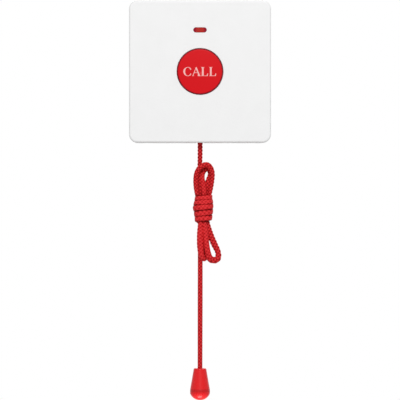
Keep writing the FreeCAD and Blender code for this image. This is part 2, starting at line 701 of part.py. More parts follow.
def make_board():
    """The circuit board with its notch for the slider, and its four screws."""
    board = new_body("pcb", depth="board_back")
    outline = new_sketch(board)
    half, notch = "(board_width / 2)", "(notch_width / 2)"
    low, step = "board_bottom", "notch_top"
    draw(outline, [
        (f"(-{half})", low), (f"(-{notch})", low), (f"(-{notch})", step), (notch, step),
        (notch, low), (half, low), (half, "board_top"), (f"(-{half})", "board_top"),
    ])
    for x, z in SCREW_PLACES:
        draw_circle(outline, x, z, "(screw_diameter / 2 + window_gap)")
    pad(board, outline, "board_height")
    screws = new_body("pcb_screws", depth="(board_front + seat_gap)")
    shanks = new_sketch(screws)
    heads = new_sketch(screws)
    crosses = new_sketch(screws, offset="head_height")
    for x, z in SCREW_PLACES:
        draw_circle(shanks, x, z, "(screw_diameter / 2)")
        draw_circle(heads, x, z, "(screw_head / 2)")
        draw_rectangle(crosses, f"({x} - screw_head / 3)", f"({z} - fit_gap)",
                       f"({x} + screw_head / 3)", f"({z} + fit_gap)")
    pad(screws, shanks, "screw_length", back=True)
    pad(screws, heads, "head_height")
    cut(screws, crosses, "head_height / 2")


def make_radio():
    """The radio chip with its legs, and the resonator can."""
    chip = new_body("rf_chip", "chip_x", "part_seat", "chip_z")
    plate = new_sketch(chip, offset="fit_gap")
    wide, tall = "(chip_width / 2)", "(chip_length / 2)"
    draw_rectangle(plate, f"(-{wide})", f"(-{tall})", wide, tall)
    pad(chip, plate, "chip_height")
    legs = new_sketch(chip)
    for index in range(CHIP_LEGS):
        middle = f"(leg_pitch * {index - (CHIP_LEGS - 1) / 2})"
        draw_rectangle(legs, f"(-{wide} - leg_reach)", f"({middle} - leg_width / 2)",
                       f"({wide} + leg_reach)", f"({middle} + leg_width / 2)")
    pad(chip, legs, "fit_gap")
    can = new_body("resonator", "(-can_x)", "part_seat", "(-can_z)")
    profile = new_sketch(can, "XZ_Plane")
    radius, brim = "(can_diameter / 2)", "(can_diameter / 2 + can_brim)"
    draw(profile, [
        ("0", "0"), (brim, "0"), (brim, "can_brim"), (radius, "can_brim"),
        (radius, "(can_height - can_brim)"),
        (f"({radius} - can_brim)", "can_height", f"({radius} - can_brim)", "(can_height - can_brim)"),
        ("0", "can_height"),
    ])
    revolve(can, profile)


def make_cell():
    """The 12 volt cell and the two sheet contacts at its ends."""
    cell = new_body("battery", "0", "cell_depth", "cell_z", SIDEWAYS)
    profile = new_sketch(cell, "XZ_Plane")
    radius, edge = "(cell_diameter / 2)", "0.5"
    foot, top = "(-cell_half)", "(cell_half - cell_nub)"
    draw(profile, [
        ("0", foot), (f"({radius} - {edge})", foot),
        (radius, f"({foot} + {edge})", f"({radius} - {edge})", f"({foot} + {edge})"),
        (radius, f"({top} - {edge})"),
        (f"({radius} - {edge})", top, f"({radius} - {edge})", f"({top} - {edge})"),
        ("(nub_diameter / 2)", top), ("(nub_diameter / 2)", "cell_half"), ("0", "cell_half"),
    ])
    revolve(cell, profile)
    for label, x in (
        ("battery_plus_plate", "(cell_half + seat_gap)"),
        ("battery_minus_plate", "(-cell_half - contact_spring - contact_sheet)"),
    ):
        plate = new_body(label, x)
        outline = new_sketch(plate, "YZ_Plane")
        low, high = "(cell_z - contact_width / 2)", "(cell_z + contact_width / 2)"
        foot = "(rear_floor + seat_gap)"
        tab, tab_top = "(board_top - tab_reach)", "(part_seat + tab_height)"
        draw(outline, [
            (low, foot), (high, foot), (high, "contact_top"), (low, "contact_top"),
            (low, tab_top), (tab, tab_top), (tab, "part_seat"), (low, "part_seat"),
        ])
        pad(plate, outline, "contact_sheet")


def make_slider():
    """The slider on the cord, with the wing that presses the cord's switch."""
    body = new_body("pull_slider")
    block = new_sketch(body, offset="slider_back")
    half = "(slider_width / 2)"
    draw_rectangle(block, f"(-{half})", "slider_foot", half, "slider_top")
    base = pad(body, block, "slider_thick")
    length = number("slider_height") - number("seat_gap")
    fillet(body, base, lambda edge: edge.BoundBox.YLength > length, "slider_edge")
    wing = new_sketch(body, offset="rail_depth + fit_gap")
    draw_rectangle(wing, f"({half} - slider_edge)", "wing_under", "wing_reach",
                   "(wing_under + wing_height)")
    pad(body, wing, "wing_thick")
    top = new_sketch(body, "XZ_Plane", "-slider_top")
    draw_circle(top, "0", "cord_depth", "(knot_pocket / 2)")
    cut(body, top, "pocket_depth", along=True)
    foot = new_sketch(body, "XZ_Plane", "-slider_foot")
    draw_circle(foot, "0", "cord_depth", "(spring_pocket / 2)")
    cut(body, foot, "slider_height - pocket_depth - web_height")
    bore = new_sketch(body, "XZ_Plane", "-slider_foot")
    draw_circle(bore, "0", "cord_depth", "(cord_bore / 2)")
    cut(body, bore)


def make_bush():
    """The flanged bush that the cord runs through."""
    body = new_body("cord_bush", "0", "cord_depth", "0", UPRIGHT)
    profile = new_sketch(body, "XZ_Plane")
    bore, foot, top = "(cord_bore / 2)", "(-rear_half)", "bush_top"
    radius, flange = "(bush_diameter / 2)", "(bush_flange / 2)"
    step = "(gate_top + seat_gap)"
    mouth = f"({bore} + bush_round)"
    draw(profile, [
        (radius, foot), (radius, step), (flange, step), (flange, top), (mouth, top),
        (bore, f"({top} - bush_round)", mouth, f"({top} - bush_round)"),
        (bore, f"({foot} + bush_round)"),
        (mouth, foot, mouth, f"({foot} + bush_round)"),
    ])
    revolve(body, profile)


def make_knots():
    """The round knots in the slider and in the pull."""
    for label, z in (("cord_top_knot", "top_knot_z"), ("cord_end_knot", "end_knot_z")):
        body = new_body(label, "0", "cord_depth", z, UPRIGHT)
        profile = new_sketch(body, "XZ_Plane")
        cord = "(cord_diameter / 2)"
        draw(profile, [
            ("0", "(-knot_flat)"), (cord, "(-knot_flat)"), (cord, "knot_flat", "0", "0"),
            ("0", "knot_flat"),
        ])
        revolve(body, profile)


def make_pull():
    """The bell-shaped pull on the cord's end and the domed plug that closes it."""
    bell = new_body("pull_bell", "0", "cord_depth", "bell_mouth_z", UPRIGHT)
    profile = new_sketch(bell, "XZ_Plane")
    mouth, neck, bore = "(bell_mouth / 2)", "(bell_neck / 2)", "(cord_bore / 2)"
    shoulder, roof = "(bell_height - bell_shoulder)", "(bell_height - bell_roof)"
    draw(profile, [
        (f"({mouth} - bell_wall)", "0"), (mouth, "0"), (mouth, "bell_rim"), (neck, shoulder),
        (f"({neck} - bell_shoulder)", "bell_height", f"({neck} - bell_shoulder)", shoulder),
        (bore, "bell_height"), (bore, roof), (f"({neck} - bell_wall)", roof),
        (f"({mouth} - bell_wall)", "(spigot_height + seat_gap)"),
    ])
    revolve(bell, profile)
    plug = new_body("pull_plug", "0", "cord_depth", "(bell_mouth_z - seat_gap)", UPRIGHT)
    profile = new_sketch(plug, "XZ_Plane")
    spigot = f"({mouth} - bell_wall - seat_gap)"
    curve = f"(({mouth} ^ 2 + dome_height ^ 2) / (2 * dome_height))"
    draw(profile, [
        ("0", "(-plug_rim - dome_height)"),
        (mouth, "(-plug_rim)", "0", f"({curve} - plug_rim - dome_height)"),
        (mouth, "0"), (spigot, "0"), (spigot, "spigot_height"),
        (f"({spigot} - bell_wall)", "spigot_height"), (f"({spigot} - bell_wall)", "1"), ("0", "1"),
    ])
    revolve(plug, profile)


def cord_line(points):
    """Join a route's points by straight runs and tangent arcs, as large as the runs allow."""
    corners, edges = [Vector(x, -depth, z) for x, depth, z in points], []
    start, radii = corners[0], []
    for before, corner, after in zip(corners, corners[1:], corners[2:]):
        back, ahead = (before - corner), (after - corner)
        share = 0.45 * min(back.Length, ahead.Length)
        turn = math.pi - back.getAngle(ahead)
        radius = share / math.tan(turn / 2)
        enter = corner + back.normalize() * share
        leave = corner + ahead.normalize() * share
        inward = (back + ahead).normalize()
        middle = corner + inward * (radius / math.cos(turn / 2) - radius)
        edges += [Part.LineSegment(start, enter).toShape(), Part.Arc(enter, middle, leave).toShape()]
        radii.append(radius)
        start = leave
    edges.append(Part.LineSegment(start, corners[-1]).toShape())
    return Part.Wire(edges), radii


def cord_tube(label, points):
    """Carry the cord's round section along a route, and compare its volume."""
    wire, radii = cord_line(points)
    radius = number("cord_diameter") / 2
    edge = wire.Edges[0]
    section = Part.Wire(Part.Circle(edge.valueAt(0), edge.tangentAt(0), radius).toShape())
    tube = wire.makePipeShell([section], True, False)
    expected = math.pi * radius ** 2 * wire.Length
    if abs(tube.Volume / expected - 1) > VOLUME_TOLERANCE:
        raise RuntimeError(f"{label} has the wrong volume")
    print(label, f"{wire.Length:.0f} mm, radii", " ".join(f"{r:.1f}" for r in radii))
    return tube


def add_shape(label, shape):
    """Add a shape made outside the document's features."""
    feature = doc.addObject("Part::Feature", label)
    feature.Label = label
    feature.Shape = shape
    feature.Placement = Placement()
    pieces.append(feature)


def wound_turns():
    """The turns wound round the hank, as one ribbed barrel."""
    waist, radius = number("hank_waist"), number("hank_radius")
    levels = [number("hank_bottom") + number("hank_pitch") * i for i in range(HANK_TURNS + 1)]
    edges = [Part.makeLine(Vector(0, 0, levels[0]), Vector(waist, 0, levels[0]))]
    for low, high in zip(levels, levels[1:]):
        bulge = Vector(radius, 0, (low + high) / 2)
        edges.append(Part.Arc(Vector(waist, 0, low), bulge, Vector(waist, 0, high)).toShape())
    edges.append(Part.makeLine(Vector(waist, 0, levels[-1]), Vector(0, 0, levels[-1])))
    edges.append(Part.makeLine(Vector(0, 0, levels[-1]), Vector(0, 0, levels[0])))
    barrel = Part.Face(Part.Wire(edges)).revolve(Vector(), Vector(0, 0, 1), 360)
    barrel.translate(Vector(number("hank_x"), -number("cord_depth"), 0))
    return barrel


def make_cord():
    """The cord above the hank, the hank itself and the cord down to the pull."""
    depth = number("cord_depth")
    start = (0.0, depth, number("top_knot_z - knot_flat - seat_gap"))
    join = (*UPPER_END, number("-hank_top"))
    add_shape("cord_upper", cord_tube("cord_upper", [start, *UPPER_ROUTE, join]))
    routes = {"arch": HANK_ARCH, "inner arch": INNER_ARCH, "bight": HANK_BIGHT, "loop": HANK_LOOP}
    loops = [cord_tube(label, route) for label, route in routes.items()]
    add_shape("cord_hank", wound_turns().fuse(loops).removeSplitter())
    end = (0.0, depth, number("end_knot_z + knot_flat + seat_gap"))
    leave = (*LOWER_START, number("hank_bottom"))
    add_shape("cord_lower", cord_tube("cord_lower", [leave, *LOWER_ROUTE, end]))


def check_document():
    """Stop if any object failed or any piece is empty or broken."""
    doc.recompute()
    for item in doc.Objects:
        if {"Invalid", "Error"} & set(item.State):
            raise RuntimeError(f"{item.Name} did not build: {item.State}")
    for piece in pieces:
        if piece.Shape.isNull() or not piece.Shape.isValid() or not piece.Shape.Solids:
            raise RuntimeError(f"{piece.Label} is not a sound solid")


def write_pieces():
    """Write each piece to a STEP file under its own name."""
    os.makedirs(OUTPUT, exist_ok=True)
    for piece in pieces:
        piece.Shape.exportStep(os.path.join(OUTPUT, f"{piece.Label}.step"))
        print(f"{piece.Label}: {len(piece.Shape.Solids)} solid, {piece.Shape.Volume:.1f} mm3")


make_front_cover()
make_rear_plate()
make_call_button()
make_coils()
make_switches()
make_indicator()
make_board()
make_radio()
make_cell()
make_slider()
make_bush()
make_knots()
make_pull()
make_cord()
check_document()
write_pieces()
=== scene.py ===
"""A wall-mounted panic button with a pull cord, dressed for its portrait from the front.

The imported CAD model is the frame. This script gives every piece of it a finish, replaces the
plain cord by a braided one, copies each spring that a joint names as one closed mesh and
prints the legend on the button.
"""

import json
import logging
import math
from dataclasses import dataclass
from enum import Enum

import bmesh
import bpy
import numpy as np
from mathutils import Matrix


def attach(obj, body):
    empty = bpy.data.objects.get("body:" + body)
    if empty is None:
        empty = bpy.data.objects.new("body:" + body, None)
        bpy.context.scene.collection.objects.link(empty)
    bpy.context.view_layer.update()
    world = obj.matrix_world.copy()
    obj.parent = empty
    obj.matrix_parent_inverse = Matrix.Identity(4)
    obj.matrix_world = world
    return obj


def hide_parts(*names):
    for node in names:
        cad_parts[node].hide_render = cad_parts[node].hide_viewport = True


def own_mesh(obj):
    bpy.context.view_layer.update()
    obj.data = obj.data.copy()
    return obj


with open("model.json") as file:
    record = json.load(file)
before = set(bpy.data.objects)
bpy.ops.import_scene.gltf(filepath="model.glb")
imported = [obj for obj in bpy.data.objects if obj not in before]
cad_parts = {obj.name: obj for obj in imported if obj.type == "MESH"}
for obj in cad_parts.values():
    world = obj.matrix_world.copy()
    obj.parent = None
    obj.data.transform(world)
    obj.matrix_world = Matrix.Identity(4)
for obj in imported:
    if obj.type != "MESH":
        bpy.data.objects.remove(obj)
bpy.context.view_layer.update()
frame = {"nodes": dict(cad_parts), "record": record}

MM = 0.001
log = logging.getLogger("panic_button")

Pair = tuple[float, float]
Triple = tuple[float, float, float]
Quad = tuple[float, float, float, float]
Stations = tuple[Quad, ...]


def linear(colour: Triple, kept: float = 1.0) -> Quad:
    """Turn a screen colour into the linear one that a shader takes.

    By the screen's curve a part up to 0.04045 is divided by 12.92, and a higher one has 0.055
    added, is divided by 1.055 and is raised to the power of 2.4.

    Args:
        colour: red, green and blue as a screen shows them, 0 to 255.
        kept: the share of the light that is kept.

    Returns:
        The linear colour with an alpha of 1.
    """
    parts = np.asarray(colour, dtype=float) / 255
    low, high = parts / 12.92, ((parts + 0.055) / 1.055) ** 2.4
    return (*(np.where(parts <= 0.04045, low, high) * kept).tolist(), 1.0)


def grey(level: float) -> Quad:
    """A linear grey with an alpha of 1."""
    return (level, level, level, 1.0)


# ---------------------------------------------------------------- shader building


class Signal:
    """A number that changes over a surface: one socket of a recipe, with arithmetic."""

    def __init__(self, recipe: "Recipe", socket: bpy.types.NodeSocket) -> None:
        """Keep the recipe that the socket belongs to."""
        self.recipe = recipe
        self.socket = socket

    def _math(self, operation: str, first: object, second: object) -> "Signal":
        """Join two values by one operation of the Math node.

        Args:
            operation: the node's own name for the operation.
            first: a signal or a number.
            second: a signal or a number.

        Returns:
            The result as a signal.
        """
        return self.recipe.signal(
            "ShaderNodeMath", {"operation": operation}, {0: first, 1: second})

    def __add__(self, other: object) -> "Signal":
        """Sum."""
        return self._math("ADD", self, other)

    __radd__ = __add__

    def __sub__(self, other: object) -> "Signal":
        """Difference."""
        return self._math("SUBTRACT", self, other)

    def __rsub__(self, other: object) -> "Signal":
        """Difference with the number first."""
        return self._math("SUBTRACT", other, self)

    def __mul__(self, other: object) -> "Signal":
        """Product."""
        return self._math("MULTIPLY", self, other)

    __rmul__ = __mul__

    def __gt__(self, other: object) -> "Signal":
        """One where the signal is above a value, else zero."""
        return self._math("GREATER_THAN", self, other)

    def least(self, other: object) -> "Signal":
        """The lower of two values."""
        return self._math("MINIMUM", self, other)

    def most(self, other: object) -> "Signal":
        """The higher of two values."""
        return self._math("MAXIMUM", self, other)

    def sine(self) -> "Signal":
        """The sine of the signal in radians."""
        return self._math("SINE", self, 0.0)

    def absolute(self) -> "Signal":
        """The signal without its sign."""
        return self._math("ABSOLUTE", self, 0.0)


class Recipe:
    """The node tree of one material or world, built by expressions."""

    def __init__(self, owner: bpy.types.Material | bpy.types.World) -> None:
        """Start with an empty tree.

        Args:
            owner: the material or world that the tree belongs to.
        """
        owner.use_nodes = True
        self.owner = owner
        self.tree = owner.node_tree
        self.tree.nodes.clear()

    def node(self, kind: str, settings: dict | None = None,
             inputs: dict | None = None) -> bpy.types.Node:
        """Add a node.

        Args:
            kind: the node's type.
            settings: its properties, set first; "stops" is a ramp's list of place and colour.
            inputs: for each socket, a signal, another socket or a plain value.

        Returns:
            The node.
        """
        made = self.tree.nodes.new(kind)
        for key, value in (settings or {}).items():
            if key == "stops":
                self._set_stops(made.color_ramp, value)
            else:
                setattr(made, key, value)
        for key, value in (inputs or {}).items():
            if isinstance(value, Signal):
                self.tree.links.new(value.socket, made.inputs[key])
            elif isinstance(value, bpy.types.NodeSocket):
                self.tree.links.new(value, made.inputs[key])
            else:
                made.inputs[key].default_value = value
        return made

    @staticmethod
    def _set_stops(ramp: bpy.types.ColorRamp, stops: list[tuple[float, tuple]]) -> None:
        """Give a ramp its stops.

        Args:
            ramp: the ramp of a node.
            stops: place from 0 to 1 and linear colour of each stop, in order.
        """
        while len(ramp.elements) < len(stops):
            ramp.elements.new(1.0)
        for element, (place, colour) in zip(ramp.elements, stops):
            element.position = place
            element.color = colour

    def signal(self, kind: str, settings: dict | None = None, inputs: dict | None = None,
               output: int | str = 0) -> Signal:
        """Add a node and read one of its outputs.

        Args:
            kind: the node's type.
            settings: its properties.
            inputs: its sockets' values or links.
            output: the output that is read.

        Returns:
            That output as a signal.
        """
        return Signal(self, self.node(kind, settings, inputs).outputs[output])

    def place(self) -> bpy.types.NodeSocket:
        """The point on the surface in the object's own metres."""
        return self.node("ShaderNodeTexCoord").outputs["Object"]

    def to_the_right(self) -> Signal:
        """How far the point on the surface lies to the right of the object's middle."""
        return self.signal("ShaderNodeSeparateXYZ", {}, {0: self.place()})

    def noise(self, size: float, detail: float = 2.0, rough: float = 0.5,
              stretch: Triple = (1.0, 1.0, 1.0)) -> Signal:
        """Soft random variation.

        Args:
            size: length of one patch in metres.
            detail: how many finer layers are added.
            rough: how strong they are.
            stretch: how much denser the pattern is along each axis.

        Returns:
            A signal from 0 to 1.
        """
        point = self.node("ShaderNodeMapping", {}, {"Vector": self.place(), "Scale": stretch})
        return self.signal("ShaderNodeTexNoise", {}, {
            "Vector": point.outputs[0], "Scale": 1 / size, "Detail": detail, "Roughness": rough})

    def reading(self, name: str) -> Signal:
        """A number stored on the mesh.

        Args:
            name: the attribute's name.

        Returns:
            It as a signal.
        """
        return self.signal("ShaderNodeAttribute", {"attribute_name": name}, output="Fac")

    def blend(self, factor: Signal, low: object, high: object) -> bpy.types.NodeSocket:
        """Mix two colours.

        Args:
            factor: 0 gives the first and 1 the second.
            low: a linear colour or a colour socket.
            high: a linear colour or a colour socket.

        Returns:
            The mixed colour's socket.
        """
        mix = self.node("ShaderNodeMix", {"data_type": "RGBA"}, {0: factor, 6: low, 7: high})
        return mix.outputs[2]

    def shades(self, factor: Signal, stops: list[tuple[float, tuple]]) -> bpy.types.NodeSocket:
        """Turn a signal into a colour by a ramp.

        Args:
            factor: the signal.
            stops: the ramp's stops.

        Returns:
            The colour's socket.
        """
        return self.node("ShaderNodeValToRGB", {"stops": stops}, {0: factor}).outputs[0]

    def scaled(self, factor: Signal, low: float, high: float) -> Signal:
        """Carry a signal from 0..1 to a range.

        Args:
            factor: the signal.
            low: its value at 0.
            high: its value at 1.

        Returns:
            The new signal.
        """
        return factor * (high - low) + low

    def bump(self, height: Signal, depth: float) -> bpy.types.NodeSocket:
        """Raise the surface by a signal.

        Args:
            height: the signal, 0 to 1.
            depth: how far 1 stands above 0, in metres.

        Returns:
            The normal's socket.
        """
        return self.node("ShaderNodeBump", {}, {"Distance": depth, "Height": height}).outputs[0]

    def surface(self, **inputs: object) -> bpy.types.Material:
        """Close the recipe with its surface shader.

        Args:
            inputs: sockets of the shader, with underscores for the blanks in their names.

        Returns:
            The finished material.
        """
        named = {key.replace("_", " "): value for key, value in inputs.items()}
        shader = self.node("ShaderNodeBsdfPrincipled", {}, named)
        self.node("ShaderNodeOutputMaterial", {}, {"Surface": shader.outputs[0]})
        return self.owner


# ---------------------------------------------------------------- finishes


@dataclass(frozen=True)
class MouldedPlastic:
    """Injection-moulded plastic with the fine grain of its mould and a little mottling.

    Its roughness varies by the spread in patches of wear, and its colour keeps a share of its
    light in the darker patches. The grain has a depth. A band of painted shade lies between two
    distances from the axis along Y.
    """

    name: str
    colour: Triple
    roughness: float = 0.4
    spread: float = 0.05
    patch: float = 9 * MM
    wear: float = 2.2 * MM
    grain: float = 0.35 * MM
    depth: float = 0.006 * MM
    kept: float = 0.96
    gloss: float = 0.5
    coat: float = 0.0
    coat_roughness: float = 0.12
    # painted shade: a darker colour in a band between two distances from the Y axis
    shade_band: Triple | None = None
    shade_band_start: float = 0.0
    shade_band_end: float = 1.0
    shade_band_slope: float = 3 / MM

    def make(self) -> bpy.types.Material:
        """Build the material; the painted shade band's share grows by the slope from each edge, up to 1.

        Returns:
            The material.
        """
        recipe = Recipe(bpy.data.materials.new(self.name))
        patches = recipe.noise(self.patch, 3.0)
        base = recipe.blend(patches, linear(self.colour, self.kept), linear(self.colour))
        # painted shade: the band darkens the colour between its two distances from the Y axis
        if self.shade_band:
            flat = recipe.node("ShaderNodeVectorMath", {"operation": "MULTIPLY"}, {
                0: recipe.place(), 1: (1.0, 0.0, 1.0)}).outputs[0]
            away = recipe.signal(
                "ShaderNodeVectorMath", {"operation": "LENGTH"}, {0: flat}, "Value")
            from_start = (away - self.shade_band_start) * self.shade_band_slope
            from_end = (self.shade_band_end - away) * self.shade_band_slope
            base = recipe.blend(from_start.least(from_end), base, linear(self.shade_band))
        wear = recipe.noise(self.wear, 4.0, 0.6)
        grain = recipe.noise(self.grain, 1.0)
        return recipe.surface(
            Base_Color=base,
            Roughness=recipe.scaled(
                wear, self.roughness - self.spread, self.roughness + self.spread),
            Specular_IOR_Level=self.gloss,
            Coat_Weight=self.coat,
            Coat_Roughness=self.coat_roughness,
            Normal=recipe.bump(grain, self.depth),
        )


@dataclass(frozen=True)
class TintedLens:
    """Tinted clear plastic over a softly lit inside, clouded, with painted shade towards its two ends.

    The painted shade of the ends starts at a distance from the middle, and its share grows by the slope.
    """

    name: str
    colour: Triple
    # painted shade: the colour at the window's two ends
    end: Triple
    end_start: float
    end_slope: float = 1 / MM
    cloud: float = 1.5 * MM
    clouding: float = 0.2
    roughness: Pair = (0.4, 0.5)
    gloss: float = 0.06
    grain: float = 0.6 * MM
    depth: float = 0.004 * MM

    def make(self) -> bpy.types.Material:
        """Build the material.

        Returns:
            The material.
        """
        recipe = Recipe(bpy.data.materials.new(self.name))
        cloud = recipe.noise(self.cloud)
        outwards = recipe.to_the_right().absolute()
        # painted shade: the colour darkens towards the window's two ends
        ends = (outwards - self.end_start) * self.end_slope + cloud * self.clouding
        return recipe.surface(
            Base_Color=recipe.blend(ends, linear(self.colour), linear(self.end)),
            Roughness=recipe.scaled(cloud, *self.roughness),
            Specular_IOR_Level=self.gloss,
            Normal=recipe.bump(recipe.noise(self.grain, 1.0), self.depth),
        )


@dataclass(frozen=True)
class WorkedMetal:
    """Bare metal with the fine streaks of drawing or rolling and a dull bloom.

    The streaks make it smoother and rougher, and the bloom keeps a share of the light.
    """

    name: str
    colour: Triple
    roughness: float
    smoother: float = 0.08
    rougher: float = 0.1
    streak: float = 0.5 * MM
    stretch: Triple = (1.0, 1.0, 6.0)
    depth: float = 0.005 * MM
    bloom: float = 3 * MM
    kept: float = 0.72

    def make(self) -> bpy.types.Material:
        """Build the material.

        Returns:
            The material.
        """
        recipe = Recipe(bpy.data.materials.new(self.name))
        streaks = recipe.noise(self.streak, 3.0, 0.6, self.stretch)
        bloom = recipe.noise(self.bloom, 3.0)
        return recipe.surface(
            Base_Color=recipe.blend(bloom, linear(self.colour, self.kept), linear(self.colour)),
            Metallic=1.0,
            Roughness=recipe.scaled(
                streaks, self.roughness - self.smoother, self.roughness + self.rougher),
            Normal=recipe.bump(streaks, self.depth),
        )


@dataclass(frozen=True)
class CircuitBoard:
    """Solder mask over a glass weave, with fine tracks that show through as lighter lines."""

    name: str
    mask: Triple
    track: Triple
    unit: float = 8 * 1.27 * MM
    track_width: float = 0.012
    run: float = 0.62
    row: float = 0.25
    weave: float = 0.4 * MM
    roughness: Pair = (0.3, 0.45)
    depth: float = 0.02 * MM

    def make(self) -> bpy.types.Material:
        """Build the material; the tracks' width, runs and rows are shares of the unit.

        Returns:
            The material.
        """
        recipe = Recipe(bpy.data.materials.new(self.name))
        upright = recipe.node("ShaderNodeMapping", {}, {
            "Vector": recipe.place(), "Rotation": (math.pi / 2, 0.0, 0.0)}).outputs[0]
        lines = recipe.signal("ShaderNodeTexBrick", {"offset": 0.5}, {
            "Vector": upright, "Scale": 1 / self.unit, "Mortar Size": self.track_width,
            "Brick Width": self.run, "Row Height": self.row}, "Fac")
        weave = recipe.noise(self.weave)
        return recipe.surface(
            Base_Color=recipe.blend(lines, linear(self.mask), linear(self.track)),
            Roughness=recipe.scaled(weave, *self.roughness),
            Normal=recipe.bump(weave + lines, self.depth),
        )


@dataclass(frozen=True)
class CellSleeve:
    """Printed shrink sleeve of a cell, with a bright band and bare metal at its plus end."""

    name: str
    sleeve: Triple
    band: Triple
    metal: Triple
    edge: float
    band_width: float = 7 * MM
    wrinkle: float = 1.2 * MM
    stretch: Triple = (0.4, 1.0, 1.0)
    roughness: Pair = (0.25, 0.4)
    depth: float = 0.02 * MM

    def make(self) -> bpy.types.Material:
        """Build the material.

        Returns:
            The material.
        """
        recipe = Recipe(bpy.data.materials.new(self.name))
        along = recipe.to_the_right()
        banded = recipe.blend(
            along > self.edge - self.band_width, linear(self.sleeve), linear(self.band))
        bare = along > self.edge
        wrinkles = recipe.noise(self.wrinkle, 3.0, 0.6, self.stretch)
        return recipe.surface(
            Base_Color=recipe.blend(bare, banded, linear(self.metal)),
            Metallic=bare,
            Roughness=recipe.scaled(wrinkles, *self.roughness),
            Normal=recipe.bump(wrinkles, self.depth),
        )


@dataclass(frozen=True)
class BraidedYarn:
    """Yarn of a round braid: painted highlight on its crowns, painted shade between them, fine filaments.
    """

    name: str
    # painted light: the crown colour is a painted highlight, the valley colour a painted shade
    crown: Triple
    middle: Triple
    valley_shade: Triple
    places: Triple = (0.25, 0.65, 0.95)
    dye: float = 4 * MM
    fading: float = 0.25
    patch: float = 1.3 * MM
    unevenness: float = 0.55
    filaments: float = 5.0
    hair_share: float = 0.7
    fluff: float = 0.12 * MM
    fluff_share: float = 0.3
    depth: float = 0.05 * MM
    roughness: Pair = (0.5, 0.75)
    gloss: float = 0.15

    def make(self) -> bpy.types.Material:
        """Build the material from the braid's own readings of height and place across a yarn.

        The colour goes from the valley's painted shade over the middle's to the crown's painted
        highlight at the places of the height, which is uneven in patches. A filament stands up as
        half of one plus the sine of a full turn times the number of filaments times the place across
        the yarn.

        Returns:
            The material.
        """
        recipe = Recipe(bpy.data.materials.new(self.name))
        height = recipe.reading("crown")
        across = recipe.reading("across")
        dye = recipe.noise(self.dye)
        uneven = recipe.noise(self.patch, 3.0, 0.7)
        # painted shade in the pits and painted highlight on the crowns, set by the height reading
        colours = [linear(colour) for colour in (self.valley_shade, self.middle, self.crown)]
        colour = recipe.shades(
            height + (uneven - 0.5) * self.unevenness, list(zip(self.places, colours)))
        hairs = (across * (2 * math.pi * self.filaments)).sine() * 0.5 + 0.5
        fluff = recipe.noise(self.fluff)
        return recipe.surface(
            Base_Color=recipe.blend(dye * self.fading, colour, linear(self.middle)),
            Roughness=recipe.scaled(fluff, *self.roughness),
            Specular_IOR_Level=self.gloss,
            Normal=recipe.bump(hairs * self.hair_share + fluff * self.fluff_share, self.depth),
        )


@dataclass(frozen=True)
class PrintedInk:
    """Pad-printed ink, matt and slightly uneven."""

    name: str
    colour: Triple
    kept: float = 0.9
    patch: float = 0.5 * MM
    roughness: Pair = (0.45, 0.6)
    depth: float = 0.004 * MM

    def make(self) -> bpy.types.Material:
        """Build the material.

        Returns:
            The material.
        """
        recipe = Recipe(bpy.data.materials.new(self.name))
        uneven = recipe.noise(self.patch, 3.0, 0.6)
        return recipe.surface(
            Base_Color=recipe.blend(uneven, linear(self.colour, self.kept), linear(self.colour)),
            Roughness=recipe.scaled(uneven, *self.roughness),
            Normal=recipe.bump(uneven, self.depth),
        )


# ---------------------------------------------------------------- meshes


def link_mesh(name: str, mesh: bpy.types.Mesh, material: bpy.types.Material, body: str) -> bpy.types.Object:
    """Put a finished mesh into the scene as a piece.

    Args:
        name: the piece's name.
        mesh: its mesh, in place.
        material: its finish.
        body: the CAD body that it rides on.

    Returns:
        The piece's object.
    """
    piece = bpy.data.objects.new(name, mesh)
    bpy.context.scene.collection.objects.link(piece)
    mesh.materials.clear()
    mesh.materials.append(material)
    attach(piece, body)
    log.info("%s: %d faces on %s", name, len(mesh.polygons), body)
    return piece


def tube_mesh(name: str, rings: np.ndarray) -> bpy.types.Mesh:
    """Close a stack of rings into a tube with two round ends.

    Each ring is joined to the next by four-sided faces, and each end by a fan about its middle.

    Args:
        name: the mesh's name.
        rings: points as an array of ring, place round the ring, and coordinate.

    Returns:
        The mesh, smooth, with its faces outwards.
    """
    count, round_count, _ = rings.shape
    here = np.arange(count * round_count).reshape(count, round_count)
    after = np.roll(here, -1, axis=1)
    sides = np.stack([here[:-1], after[:-1], after[1:], here[1:]], axis=-1).reshape(-1, 4)
    first, last = count * round_count, count * round_count + 1
    caps = np.concatenate([
        np.stack([np.full(round_count, first), after[0], here[0]], axis=-1),
        np.stack([np.full(round_count, last), here[-1], after[-1]], axis=-1)])
    points = np.concatenate([rings.reshape(-1, 3), rings[[0, -1]].mean(axis=1)])
    mesh = bpy.data.meshes.new(name)
    mesh.from_pydata(points.tolist(), [], sides.tolist() + caps.tolist())
    mesh.shade_smooth()
    return mesh


def add_reading(mesh: bpy.types.Mesh, name: str, values: np.ndarray) -> None:
    """Store one number on each point of a mesh.

    Args:
        mesh: the mesh.
        name: the attribute's name.
        values: the numbers in the order of the points.
    """
    stored = mesh.attributes.new(name, "FLOAT", "POINT")
    stored.data.foreach_set("value", values.astype(np.float32))


# ---------------------------------------------------------------- camera and light


@dataclass(frozen=True)
class Lamp:
    """A square lamp: its place and its side in metres, and its power in watts."""

    name: str
    place: Triple
    side: float
    power: float

    def hang(self, target: Triple) -> None:
        """Hang the lamp in its place and turn it to a point.

        Its tilt from straight down is the angle whose tangent is the level distance to the point
        divided by the drop to it.

        Args:
            target: the point that it faces.
        """
        data = bpy.data.lights.new(self.name, "AREA")
        data.size = self.side
        data.energy = self.power
        lamp = bpy.data.objects.new(self.name, data)
        lamp.location = self.place
        right, behind, up = np.array(target) - np.array(self.place)
        tilt = math.atan2(math.hypot(right, behind), -up)
        lamp.rotation_euler = (tilt, 0.0, math.atan2(-right, behind))
        bpy.context.scene.collection.objects.link(lamp)


